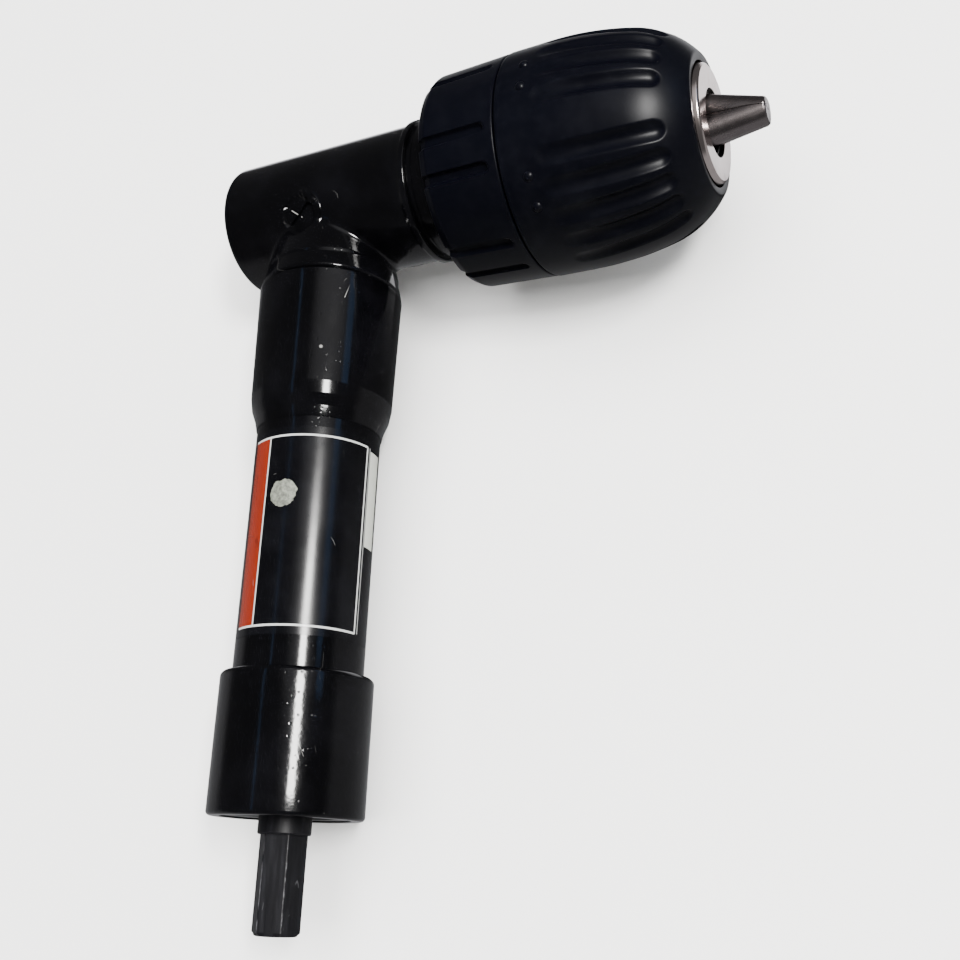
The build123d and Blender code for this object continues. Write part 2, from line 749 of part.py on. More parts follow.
def sleeve_outer_line():
    """Outer line of the front sleeve in the XY plane: a near-cylinder and two tangent arcs."""
    bend = (front_sleeve_bend_station, front_sleeve_radius)
    shoulder = (front_sleeve_shoulder_station, front_sleeve_shoulder_radius)
    barrel = Line((front_sleeve_rear_station, front_sleeve_rear_radius), bend)
    dome = TangentArc(bend, shoulder, tangent=barrel % 1)
    nose = TangentArc(shoulder, (front_sleeve_nose_station, front_sleeve_nose_radius), tangent=dome % 1)
    return barrel, dome, nose


def flute_cutter():
    """Straight round-ended cutter, which the dome of the sleeve rises into between its ends."""
    barrel, dome, nose = sleeve_outer_line()
    lift = Vector(0, flute_radius - flute_end_depth)
    start = dome @ flute_start_share + lift
    end = nose @ flute_end_share + lift
    bar = extrude(Plane(origin=start, z_dir=end - start) * Circle(flute_radius), amount=(end - start).length)
    cutter = bar + Pos(start) * Sphere(flute_radius) + Pos(end) * Sphere(flute_radius)
    return Rot(90, 0, 0) * cutter


def front_sleeve():
    """Front gripping sleeve: domed shell with groups of long flutes and small bumps."""
    mouth = nose_ring_radius + free_gap
    nose_station = front_sleeve_nose_station
    ring_end = nut_end_station + nut_ring_overhang
    inner = Polyline(
        (nose_station, front_sleeve_nose_radius), (nose_station - sleeve_mouth_chamfer, mouth),
        (chuck_nose_step_station + 4 * free_gap, mouth),
        (chuck_nose_step_station + free_gap, chuck_front_radius + 2 * free_gap),
        (ring_end + sleeve_taper_length, chuck_body_radius), (ring_end, nut_ring_radius - sleeve_ring_lip),
        (ring_end, nut_ring_radius + fixed_fit), (nut_start_station, nut_ring_radius + fixed_fit),
        (nut_start_station - sleeve_lead_in, rear_sleeve_inner_radius),
        (front_sleeve_rear_station, rear_sleeve_inner_radius),
        (front_sleeve_rear_station, front_sleeve_rear_radius))
    shell = turned_curves(*sleeve_outer_line(), inner)
    cutter = flute_cutter()
    bump = Pos(bump_station, 0, front_sleeve_radius + bump_height - bump_radius) * Sphere(bump_radius)
    group_step = 360 / front_sleeve_flute_groups
    for group in range(front_sleeve_flute_groups):
        first = flute_first_angle + group * group_step
        for flute in range(flutes_per_group):
            shell = shell - around_axis(cutter, first + flute * flute_pitch_angle)
        for place in range(bumps_per_group):
            shell = shell + around_axis(bump, first + (place + 0.5) * flute_pitch_angle)
    return shell


def rear_sleeve():
    """Rear holding sleeve, pressed on the chuck hub, with pairs of slots from its rear edge."""
    rear = rear_sleeve_rear_station
    front = sleeve_seam_station - sleeve_seam_gap / 2
    round_end = rear + rear_sleeve_edge_round
    shoulder = rear_sleeve_rear_radius + rear_sleeve_shoulder
    shell = turned([
        (rear, chuck_hub_radius + fixed_fit), (rear, rear_sleeve_rear_radius - rear_sleeve_edge_drop),
        (rear + 0.45 * rear_sleeve_edge_round, 0.5 * (rear_sleeve_rear_radius + shoulder)),
        (round_end, shoulder), (front, rear_sleeve_front_radius), (front, rear_sleeve_inner_radius),
        (rear + rear_sleeve_web_thickness + rear_sleeve_inner_chamfer, rear_sleeve_inner_radius),
        (rear + rear_sleeve_web_thickness, rear_sleeve_inner_radius - rear_sleeve_inner_chamfer),
        (rear + rear_sleeve_web_thickness, chuck_hub_radius + fixed_fit),
    ])
    floor = rear_sleeve_front_radius - rear_slot_depth
    width = 2 * rear_slot_half_width
    slot = Pos((rear + rear_slot_end_station) / 2 - 1, 0, floor + 2) * Box(
        rear_slot_end_station - rear + 2, width, 4)
    slot = slot + Pos(rear_slot_end_station, 0, floor) * extrude(Circle(rear_slot_half_width), amount=4)
    pair_step = 360 / rear_slot_pairs
    for pair in range(rear_slot_pairs):
        for side in (-0.5, 0.5):
            angle = rear_slot_first_angle + pair * pair_step + side * rear_slot_pair_angle
            shell = shell - around_axis(slot, angle)
    return shell


def tilt_to_touch(along, across, height):
    """Angle whose sine times along plus cosine times across gives the height, in degrees."""
    reach = math.hypot(along, across)
    return math.degrees(math.asin(height / reach) - math.atan2(across, along))


def lying_angles():
    """Tilts about X, then Y, at which the head, the rear sleeve and the collar touch the table.

    The chuck is the widest and the heaviest end, so the attachment leans back from the rear
    edge of its sleeve onto the rear edge of the head and the end edge of the collar.
    """
    head_station = head_rear_station + head_edge_radius
    head_height = head_radius - head_edge_radius
    sleeve_station = rear_sleeve_rear_station + rear_sleeve_edge_round
    sleeve_height = rear_sleeve_rear_radius + rear_sleeve_shoulder
    lean = tilt_to_touch(sleeve_station - head_station, sleeve_height - head_height, head_edge_radius)
    down_x = math.sin(math.radians(lean))
    table = sleeve_station * down_x + sleeve_height * math.cos(math.radians(lean))
    collar_reach = collar_end_station - collar_end_round
    collar_height = collar_radius - collar_end_round
    dip = tilt_to_touch(collar_reach, collar_height, table - collar_end_round)
    down_y = -math.sin(math.radians(dip))
    down_z = -math.sqrt(1 - down_x ** 2 - down_y ** 2)
    about_x = math.degrees(math.atan2(-down_y, -down_z))
    return about_x, lean


def main():
    """Builds every piece, lays the attachment on its side and writes one file for each node."""
    front_bearing = bearing_parts(front_bearing_station)
    lower_bearing = [on_barrel_line(piece) for piece in bearing_parts(lower_bearing_station)]
    meshed_pinion = on_barrel_line(mitre_gear(-90 + 180 / gear_teeth))
    rear_bush_start = gear_chamber_rear_station - rear_bush_length
    pieces = {
        "head_casting": head_casting(),
        "rear_plug": rear_plug(),
        "grease_plug": grease_plug(),
        "rear_spindle_bush": ring(rear_bush_start, gear_chamber_rear_station,
                                  gear_bore_radius + running_fit, rear_bush_outer_radius),
        "front_retainer": retainer(),
        "spindle_seal": ring(retainer_front_station - seal_width, retainer_front_station - seal_recess,
                             bearing_bore_radius + running_fit, seal_outer_radius),
        "barrel_tube": barrel_tube(),
        "lower_collar": lower_collar(),
        "collar_retaining_clip": collar_clip(),
        "blank_label": label_film(),
        "input_shaft_bush": on_barrel_line(ring(input_bush_start_station, input_bush_end_station,
                                                shaft_radius + running_fit, input_bush_outer_radius)),
        "front_bearing_outer_race": front_bearing[0],
        "front_bearing_inner_race": front_bearing[1],
        "front_bearing_rollers": front_bearing[2],
        "front_bearing_cage": front_bearing[3],
        "lower_bearing_outer_race": lower_bearing[0],
        "lower_bearing_inner_race": lower_bearing[1],
        "lower_bearing_rollers": lower_bearing[2],
        "lower_bearing_cage": lower_bearing[3],
        "lower_bearing_shield": lower_bearing[4],
        "input_shaft": input_shaft(),
        "input_pinion": meshed_pinion,
        "input_pinion_pin": on_barrel_line(gear_pin(gear_pin_radius, gear_hub_radius - gear_pin_recess)),
        "output_spindle": spindle(),
        "output_gear": mitre_gear(90),
        "output_gear_pin": gear_pin(gear_pin_radius, gear_hub_radius - gear_pin_recess),
        "chuck_body": chuck_body(),
        "chuck_screw": chuck_screw(),
        "nose_ring": nose_ring(),
        "rear_sleeve": rear_sleeve(),
        "thrust_washer": thrust_washer(),
        "thrust_rollers": thrust_rollers(),
        "front_sleeve": front_sleeve(),
        "nut_ring": nut_ring(),
        "nut_half_upper": nut_half(1),
        "nut_half_lower": nut_half(-1),
    }
    for number in range(jaw_count):
        pieces[f"jaw_{number + 1}"] = jaw(number)

    # The table top is at z = 0 and the origin is under the middle of the laid-down attachment
    about_x, about_y = lying_angles()
    tilt = Rot(0, about_y, 0) * Rot(about_x, 0, 0)
    laid = {name: tilt * piece for name, piece in pieces.items()}
    boxes = [piece.bounding_box() for piece in laid.values()]
    low = Vector(*(min(getattr(box.min, side) for box in boxes) for side in "XYZ"))
    high = Vector(*(max(getattr(box.max, side) for box in boxes) for side in "XYZ"))
    shift = Pos(-(low.X + high.X) / 2, -(low.Y + high.Y) / 2, -low.Z)
    os.makedirs("parts", exist_ok=True)
    for name, piece in laid.items():
        export_step(shift * piece, f"parts/{name}.step")
    print("lying angles", about_x, about_y, "shift", *shift.position)


main()
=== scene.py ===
import json
import logging
import math
from dataclasses import asdict, dataclass, field
from enum import Enum
from typing import Dict, List, Optional, Sequence, Tuple, Union

import bmesh
import bpy
import numpy as np
from mathutils import Matrix, Vector


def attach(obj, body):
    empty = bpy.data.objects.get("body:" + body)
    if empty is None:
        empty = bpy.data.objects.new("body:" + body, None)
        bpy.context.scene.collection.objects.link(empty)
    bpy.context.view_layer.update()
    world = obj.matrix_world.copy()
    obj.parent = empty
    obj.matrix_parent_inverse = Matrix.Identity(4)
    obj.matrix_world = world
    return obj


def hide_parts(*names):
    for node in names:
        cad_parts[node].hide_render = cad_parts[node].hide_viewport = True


# Looks of a right angle attachment for a drill. Sizes in the classes are millimetres in the
# drawing frame: the chuck axis along +X, the barrel towards -Y, the crossing of the two axes
# at the origin. A station is a distance from that crossing along the chuck or the barrel line.
# An angle about a line is zero upwards. Meshes are placed in the row frame, in metres.

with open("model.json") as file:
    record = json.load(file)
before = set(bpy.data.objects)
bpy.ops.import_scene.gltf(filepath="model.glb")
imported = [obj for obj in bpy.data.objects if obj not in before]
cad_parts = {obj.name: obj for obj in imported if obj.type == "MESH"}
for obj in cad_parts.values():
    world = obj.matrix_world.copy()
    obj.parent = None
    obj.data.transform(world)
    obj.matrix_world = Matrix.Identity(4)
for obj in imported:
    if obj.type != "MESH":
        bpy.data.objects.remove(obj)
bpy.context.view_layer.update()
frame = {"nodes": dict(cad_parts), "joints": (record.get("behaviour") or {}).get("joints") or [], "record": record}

LOG = logging.getLogger("attachment")
MM = 0.001
Mesh, Piece, Material = bpy.types.Mesh, bpy.types.Object, bpy.types.Material
Tree, Node, Socket = bpy.types.NodeTree, bpy.types.Node, bpy.types.NodeSocket
Triple = Tuple[float, float, float]
Colour = Tuple[float, float, float]
Outline = Tuple[Tuple[float, float], ...]
Number = Union["Field", float]


class Line(Enum):
    """The two centre lines that the pieces are turned about."""

    CHUCK = "chuck"
    BARREL = "barrel"


class Grain(Enum):
    """Which way a metal's fine lines run."""

    ROUND = "round"
    ALONG = "along"
    NONE = "none"


@dataclass(frozen=True)
class DrawingFrame:
    """Where the drawing frame lies in the row frame, in metres."""

    origin: Vector
    turn: Matrix

    @classmethod
    def from_joints(cls, joints: Sequence[dict]) -> "DrawingFrame":
        """Finds the crossing of the chuck's and the drive shaft's joint axes.

        Args:
            joints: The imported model's joints.

        Returns:
            The frame whose X is the chuck's axis and whose Y is the drive shaft's.
        """
        by_name = {joint["name"]: joint for joint in joints}
        chuck, shaft = by_name["chuck_spin"], by_name["input_spin"]
        along = Vector(chuck["axis"]).normalized()
        across = Vector(shaft["axis"]).normalized()
        start = Vector(chuck["pos_m"])
        origin = start + along * (Vector(shaft["pos_m"]) - start).dot(along)
        turn = Matrix((along, across, along.cross(across))).transposed()
        return cls(origin, turn)

    def placing(self, line: Line) -> Matrix:
        """Matrix from a line's own millimetres, with +X along it, to the row frame.

        Args:
            line: The centre line that a piece is drawn along.

        Returns:
            A 4 by 4 matrix that also turns millimetres into metres.
        """
        lie = Matrix.Translation(self.origin) @ self.turn.to_4x4() @ Matrix.Scale(MM, 4)
        if line is Line.BARREL:
            lie = lie @ Matrix.Rotation(math.radians(-90), 4, "Z")
        return lie

    def point(self, place: Sequence[float]) -> Vector:
        """Row-frame place of a point given in drawing millimetres."""
        return self.placing(Line.CHUCK) @ Vector(place)

    def direction(self, heading: Sequence[float]) -> Vector:
        """Row-frame direction of a direction given in the drawing frame."""
        return self.turn @ Vector(heading)


DRAWING = DrawingFrame.from_joints(frame["joints"])


class Field:
    """A number carried by a node socket, so that formulas read as arithmetic."""

    def __init__(self, tree: Tree, socket: Socket) -> None:
        """Wraps an output socket of a tree."""
        self.tree = tree
        self.socket = socket

    def apply(self, operation: str, *others: Number) -> "Field":
        """Adds one Math node.

        Args:
            operation: The Math node's operation.
            others: The operands after this one.

        Returns:
            The node's result.
        """
        node = self.tree.nodes.new("ShaderNodeMath")
        node.operation = operation
        for index, operand in enumerate((self, *others)):
            if isinstance(operand, Field):
                self.tree.links.new(operand.socket, node.inputs[index])
            else:
                node.inputs[index].default_value = operand
        return Field(self.tree, node.outputs[0])

    def __add__(self, other: Number) -> "Field":
        """Sum."""
        return self.apply("ADD", other)

    def __sub__(self, other: Number) -> "Field":
        """Difference."""
        return self.apply("SUBTRACT", other)

    def __mul__(self, other: Number) -> "Field":
        """Product."""
        return self.apply("MULTIPLY", other)

    def __truediv__(self, other: Number) -> "Field":
        """Quotient."""
        return self.apply("DIVIDE", other)

    def above(self, low: float, high: float) -> "Field":
        """Zero below low, one above high and a smooth rise between, for low under high."""
        return self.stepped(low, high, 0.0, 1.0)

    def below(self, low: float, high: float) -> "Field":
        """One below low, zero above high and a smooth fall between, for low under high."""
        return self.stepped(low, high, 1.0, 0.0)

    def between(self, low: float, high: float, soft: float) -> "Field":
        """One between two values, with edges that soften over a distance."""
        return self.above(low - soft, low) * self.below(high, high + soft)

    def near(self, value: float, half_width: float, soft: float) -> "Field":
        """One within half_width of a value."""
        return (self - value).apply("ABSOLUTE").below(half_width, half_width + soft)

    def stepped(self, low: float, high: float, start: float, end: float) -> "Field":
        """Smooth step from start at low to end at high.

        Args:
            low: Value at which the step begins.
            high: Value at which it ends.
            start: Result below low.
            end: Result above high.

        Returns:
            The stepped number.
        """
        node = self.tree.nodes.new("ShaderNodeMapRange")
        node.interpolation_type = "SMOOTHSTEP"
        self.tree.links.new(self.socket, node.inputs["Value"])
        for name, number in (("From Min", low), ("From Max", high), ("To Min", start), ("To Max", end)):
            node.inputs[name].default_value = number
        return Field(self.tree, node.outputs[0])


def length_of(parts: Sequence[Field]) -> Field:
    """Length of a vector.

    Args:
        parts: Its two or three parts.

    Returns:
        The length.
    """
    total = parts[0] * parts[0]
    for part in parts[1:]:
        total = total + part * part
    return total.apply("SQRT")


class NodeMaker:
    """What a geometry tree, a material and the surroundings share: adding and linking nodes."""

    def __init__(self, tree: Tree) -> None:
        """Works on one tree."""
        self.tree = tree

    def node(self, kind: str) -> Node:
        """Adds a node."""
        return self.tree.nodes.new(kind)

    def link(self, start: Socket, end: Socket) -> None:
        """Links two sockets."""
        self.tree.links.new(start, end)

    def field(self, socket: Socket) -> Field:
        """A socket as a field."""
        return Field(self.tree, socket)

    def parts(self, vector: Socket) -> Tuple[Field, Field, Field]:
        """Splits a vector or a colour.

        Args:
            vector: The socket that carries it.

        Returns:
            Its three parts.
        """
        node = self.node("ShaderNodeSeparateXYZ")
        self.link(vector, node.inputs[0])
        first, second, third = (self.field(socket) for socket in node.outputs)
        return first, second, third

    def vector(self, **axes: Field) -> Socket:
        """Joins numbers into a vector.

        Args:
            axes: The parts by axis, x, y or z; the others are zero.

        Returns:
            The vector's socket.
        """
        node = self.node("ShaderNodeCombineXYZ")
        for axis, number in axes.items():
            self.link(number.socket, node.inputs[axis.upper()])
        return node.outputs[0]


# Meshes


def rounded(corners: Sequence[Triple], steps: int = 5) -> np.ndarray:
    """Closed outline with an arc at each corner that has a rounding.

    Args:
        corners: Station, radius and rounding of each corner, in order.
        steps: Pieces in each arc.

    Returns:
        The outline's points as rows of station and radius.
    """
    points: List[np.ndarray] = []
    count = len(corners)
    for index, (station, height, rounding) in enumerate(corners):
        here = np.array((station, height))
        to_last = np.array(corners[index - 1][:2]) - here
        to_next = np.array(corners[(index + 1) % count][:2]) - here
        if rounding <= 0:
            points.append(here)
            continue
        last_length, next_length = np.linalg.norm(to_last), np.linalg.norm(to_next)
        first, second = to_last / last_length, to_next / next_length
        half = 0.5 * math.acos(max(-1.0, min(1.0, float(first @ second))))
        reach = min(rounding / math.tan(half), 0.49 * last_length, 0.49 * next_length)
        radius = reach * math.tan(half)
        middle = (first + second) / np.linalg.norm(first + second)
        centre = here + middle * radius / math.sin(half)
        start, end = here + first * reach - centre, here + second * reach - centre
        sweep = math.pi - 2 * half
        for step in range(steps + 1):
            share = step / steps
            low, high = math.sin((1 - share) * sweep), math.sin(share * sweep)
            points.append(centre + (start * low + end * high) / math.sin(sweep))
    return np.array(points)


def divided(outline: np.ndarray, longest: float) -> np.ndarray:
    """Outline with points added, so that no side is longer than a length.

    Args:
        outline: Closed outline.
        longest: The longest side allowed, in millimetres.

    Returns:
        The finer outline.
    """
    points: List[np.ndarray] = []
    for index, start in enumerate(outline):
        end = outline[(index + 1) % len(outline)]
        pieces = max(1, math.ceil(float(np.linalg.norm(end - start)) / longest))
        points.extend(start + (end - start) * step / pieces for step in range(pieces))
    return np.array(points)


def mesh_from(name: str, points: np.ndarray, faces: Sequence[Sequence[int]]) -> Mesh:
    """Mesh with doubles merged and all faces pointing outwards.

    Args:
        name: The mesh's name.
        points: Rows of coordinates.
        faces: Corner numbers of each face.

    Returns:
        The mesh.
    """
    mesh = bpy.data.meshes.new(name)
    mesh.from_pydata(points.tolist(), [], [list(face) for face in faces])
    build = bmesh.new()
    build.from_mesh(mesh)
    bmesh.ops.remove_doubles(build, verts=build.verts, dist=1e-4)
    bmesh.ops.dissolve_degenerate(build, edges=build.edges, dist=1e-5)
    bmesh.ops.recalc_face_normals(build, faces=build.faces)
    build.to_mesh(mesh)
    build.free()
    return mesh


def about_axis(station: np.ndarray, angle: np.ndarray, radius: np.ndarray) -> np.ndarray:
    """Points round the axis, whose last index is station, across and up."""
    return np.stack(np.broadcast_arrays(station, -np.sin(angle) * radius, np.cos(angle) * radius), axis=-1)


def full_turn(segments: int) -> np.ndarray:
    """Equal steps of a full turn, in radians."""
    return 2 * np.pi * np.arange(segments) / segments


def grid_faces(rows: int, columns: int, closed: bool = False) -> List[Tuple[int, int, int, int]]:
    """Quads of a grid of points whose rows are rings.

    Args:
        rows: Number of rings.
        columns: Points in each ring.
        closed: Whether the last ring joins the first.

    Returns:
        Corner numbers of each quad.
    """
    faces = []
    for row in range(rows if closed else rows - 1):
        here, there = row * columns, (row + 1) % rows * columns
        for column in range(columns):
            after = (column + 1) % columns
            faces.append((here + column, here + after, there + after, there + column))
    return faces


def lathe(name: str, outline: np.ndarray, segments: int = 192) -> Mesh:
    """Closed outline of stations and radii turned about +X in equal steps, in millimetres."""
    points = about_axis(outline[None, :, 0], full_turn(segments)[:, None], outline[None, :, 1])
    return mesh_from(name, points.reshape(-1, 3), grid_faces(segments, len(outline), closed=True))


def place(mesh: Mesh, line: Line, sharp_degrees: float = 32.0) -> Piece:
    """Object of a mesh drawn along a line, with its place in the mesh and smooth shading.

    Args:
        mesh: Mesh in millimetres along +X.
        line: The centre line that it belongs to.
        sharp_degrees: Edges that turn more than this stay sharp.

    Returns:
        The placed object, at the origin and unturned.
    """
    mesh.transform(DRAWING.placing(line))
    mesh.shade_smooth()
    mesh.set_sharp_from_angle(angle=math.radians(sharp_degrees))
    return linked(mesh.name, mesh)


def baked(piece: Piece, name: str) -> Mesh:
    """Plain mesh of an object with its modifiers; the object itself is removed.

    Args:
        piece: The object with modifiers.
        name: The new mesh's name.

    Returns:
        The evaluated mesh.
    """
    bpy.context.view_layer.update()
    evaluated = piece.evaluated_get(bpy.context.evaluated_depsgraph_get())
    mesh = bpy.data.meshes.new_from_object(evaluated)
    mesh.name = name
    bpy.data.objects.remove(piece)
    return mesh


def linked(name: str, data: Optional[bpy.types.ID]) -> Piece:
    """Object in the scene.

    Args:
        name: Its name.
        data: Its mesh, light or camera.

    Returns:
        The object, at the origin.
    """
    piece = bpy.data.objects.new(name, data)
    bpy.context.scene.collection.objects.link(piece)
    return piece


def loose(mesh: Mesh) -> Piece:
    """Object of a mesh in millimetres, for a modifier to work on."""
    return linked(mesh.name + "_work", mesh)


def cut(mesh: Mesh, tool: Mesh, operation: str = "DIFFERENCE") -> Mesh:
    """One mesh cut by another.

    Args:
        mesh: The mesh that is cut.
        tool: The cutter.
        operation: The Boolean modifier's operation.

    Returns:
        The cut mesh.
    """
    body, cutter = loose(mesh), loose(tool)
    modifier = body.modifiers.new("cut", "BOOLEAN")
    modifier.operation = operation
    modifier.solver = "EXACT"
    modifier.object = cutter
    result = baked(body, mesh.name)
    bpy.data.objects.remove(cutter)
    return result


def block(name: str, centre: Sequence[float], size: Sequence[float]) -> Mesh:
    """Box in millimetres, as a cutter.

    Args:
        name: The mesh's name.
        centre: Middle of the box.
        size: Full lengths of its sides.

    Returns:
        The box.
    """
    build = bmesh.new()
    bmesh.ops.create_cube(build, size=1.0)
    bmesh.ops.scale(build, vec=Vector(size), verts=build.verts)
    bmesh.ops.translate(build, vec=Vector(centre), verts=build.verts)
    mesh = bpy.data.meshes.new(name)
    build.to_mesh(mesh)
    build.free()
    return mesh


def turned_about_x(mesh: Mesh, degrees: float) -> Mesh:
    """Mesh turned about +X, from up towards the shank side."""
    mesh.transform(Matrix.Rotation(math.radians(degrees), 4, "X"))
    return mesh


# Geometry node trees


@dataclass(frozen=True)
class TreeSizes:
    """Sizes that a geometry node tree takes, in millimetres and degrees, in the order of its inputs."""

    def inputs(self) -> Dict[str, float]:
        """Each size under the name of the tree's input."""
        return {key.replace("_", " ").title(): float(number) for key, number in asdict(self).items()}


@dataclass(frozen=True)
class Grooves(TreeSizes):
    """Round-ended grooves in groups round a shell.

    A groove lies between two stations. Its section is a power curve: two is a round flute and a
    large power is a square slot. Over the rise it sinks from a third to its full depth.
    """

    first_angle: float
    pitch_angle: float
    group_angle: float
    grooves: float
    start: float
    end: float
    half_width: float
    depth: float
    power: float
    softness: float
    least_radius: float
    rise: float = 0.0


@dataclass(frozen=True)
class Copies(TreeSizes):
    """Copies of a mesh round the axis, in groups."""

    first_angle: float
    pitch_angle: float
    group_angle: float
    groups: float
    copies: float


class TreeBuilder(NodeMaker):
    """A geometry node tree with named inputs and one geometry that runs through it."""

    def __init__(self, name: str, sizes: TreeSizes) -> None:
        """Starts a tree.

        Args:
            name: The tree's name.
            sizes: The sizes that become its inputs.
        """
        super().__init__(bpy.data.node_groups.new(name, "GeometryNodeTree"))
        face = self.tree.interface
        face.new_socket(name="Geometry", in_out="INPUT", socket_type="NodeSocketGeometry")
        face.new_socket(name="Geometry", in_out="OUTPUT", socket_type="NodeSocketGeometry")
        for key, number in sizes.inputs().items():
            face.new_socket(name=key, in_out="INPUT", socket_type="NodeSocketFloat").default_value = number
        face.new_socket(name="Material", in_out="INPUT", socket_type="NodeSocketMaterial")
        self.entry = self.node("NodeGroupInput")
        self.exit = self.node("NodeGroupOutput")

    def number(self, name: str) -> Field:
        """A named input as a field."""
        return self.field(self.entry.outputs[name])

    def finish(self, geometry: Socket) -> Tree:
        """Ends the tree in Realize Instances and Set Material.

        Args:
            geometry: The geometry that leaves the tree.

        Returns:
            The finished tree.
        """
        real, dress = self.node("GeometryNodeRealizeInstances"), self.node("GeometryNodeSetMaterial")
        self.link(geometry, real.inputs["Geometry"])
        self.link(real.outputs["Geometry"], dress.inputs["Geometry"])
        self.link(self.entry.outputs["Material"], dress.inputs["Material"])
        self.link(dress.outputs["Geometry"], self.exit.inputs["Geometry"])
        return self.tree


def run_tree(mesh: Mesh, tree: Tree, sizes: TreeSizes, material: Material) -> Mesh:
    """Runs a geometry node tree on a mesh.

    Args:
        mesh: Mesh in millimetres.
        tree: The tree.
        sizes: The numbers for its inputs.
        material: The material that it sets.

    Returns:
        The plain result.
    """
    body = loose(mesh)
    modifier = body.modifiers.new("tree", "NODES")
    modifier.node_group = tree
    given = {**sizes.inputs(), "Material": material}
    for item in tree.interface.items_tree:
        if item.in_out == "INPUT" and item.name in given:
            modifier[item.identifier] = given[item.name]
    return baked(body, mesh.name)


def groove_tree(sizes: Grooves) -> Tree:
    """Tree that sinks groups of straight grooves into a turned shell.

    Args:
        sizes: The grooves, as the tree's defaults.

    Returns:
        The tree.
    """
    build = TreeBuilder("grooves", sizes)
    station, across, up = build.parts(build.node("GeometryNodeInputPosition").outputs[0])
    radius = length_of((across, up))
    angle = (across * -1.0).apply("ARCTAN2", up).apply("DEGREES")
    in_group = (angle - build.number("First Angle")) + build.number("Pitch Angle") / 2.0
    in_group = in_group.apply("FLOORED_MODULO", build.number("Group Angle"))
    last = build.number("Grooves") - 1.0
    index = (in_group / build.number("Pitch Angle")).apply("FLOOR").apply("MINIMUM", last)
    off_angle = in_group - (index + 0.5) * build.number("Pitch Angle")
    sideways = off_angle.apply("RADIANS") * radius
    beyond = (build.number("Start") - station).apply("MAXIMUM", station - build.number("End"))
    beyond = beyond.apply("MAXIMUM", 0.0)
    distance = length_of((sideways, beyond)) / build.number("Half Width")
    section = distance.apply("POWER", build.number("Power")) * -1.0 + 1.0
    full = ((station - build.number("Start")) / (build.number("Rise") + 0.001)).apply("MINIMUM", 1.0)
    full = full.apply("MAXIMUM", 0.0) * 0.65 + 0.35
    depth = (section * build.number("Depth") * full).apply("SMOOTH_MAX", 0.0, build.number("Softness"))
    outer = radius.apply("GREATER_THAN", build.number("Least Radius"))
    share = (depth * outer / radius) * -1.0
    move = build.node("GeometryNodeSetPosition")
    build.link(build.entry.outputs["Geometry"], move.inputs["Geometry"])
    build.link(build.vector(y=across * share, z=up * share), move.inputs["Offset"])
    return build.finish(move.outputs["Geometry"])


def ring_tree(sizes: Copies) -> Tree:
    """Tree that sets copies of the mesh it is given round the axis, in groups.

    Args:
        sizes: The copies, as the tree's defaults.

    Returns:
        The tree.
    """
    build = TreeBuilder("ring_of_copies", sizes)
    total = build.number("Groups") * build.number("Copies")
    points = build.node("GeometryNodePoints")
    build.link(total.socket, points.inputs["Count"])
    index = build.field(build.node("GeometryNodeInputIndex").outputs[0])
    group = (index / build.number("Copies") + 0.001).apply("FLOOR")
    member = index - group * build.number("Copies")
    angle = build.number("First Angle") + group * build.number("Group Angle")
    angle = (angle + member * build.number("Pitch Angle")).apply("RADIANS")
    copies = build.node("GeometryNodeInstanceOnPoints")
    build.link(points.outputs[0], copies.inputs["Points"])
    build.link(build.entry.outputs["Geometry"], copies.inputs["Instance"])
    build.link(build.vector(x=angle), copies.inputs["Rotation"])
    return build.finish(copies.outputs["Instances"])


# Materials


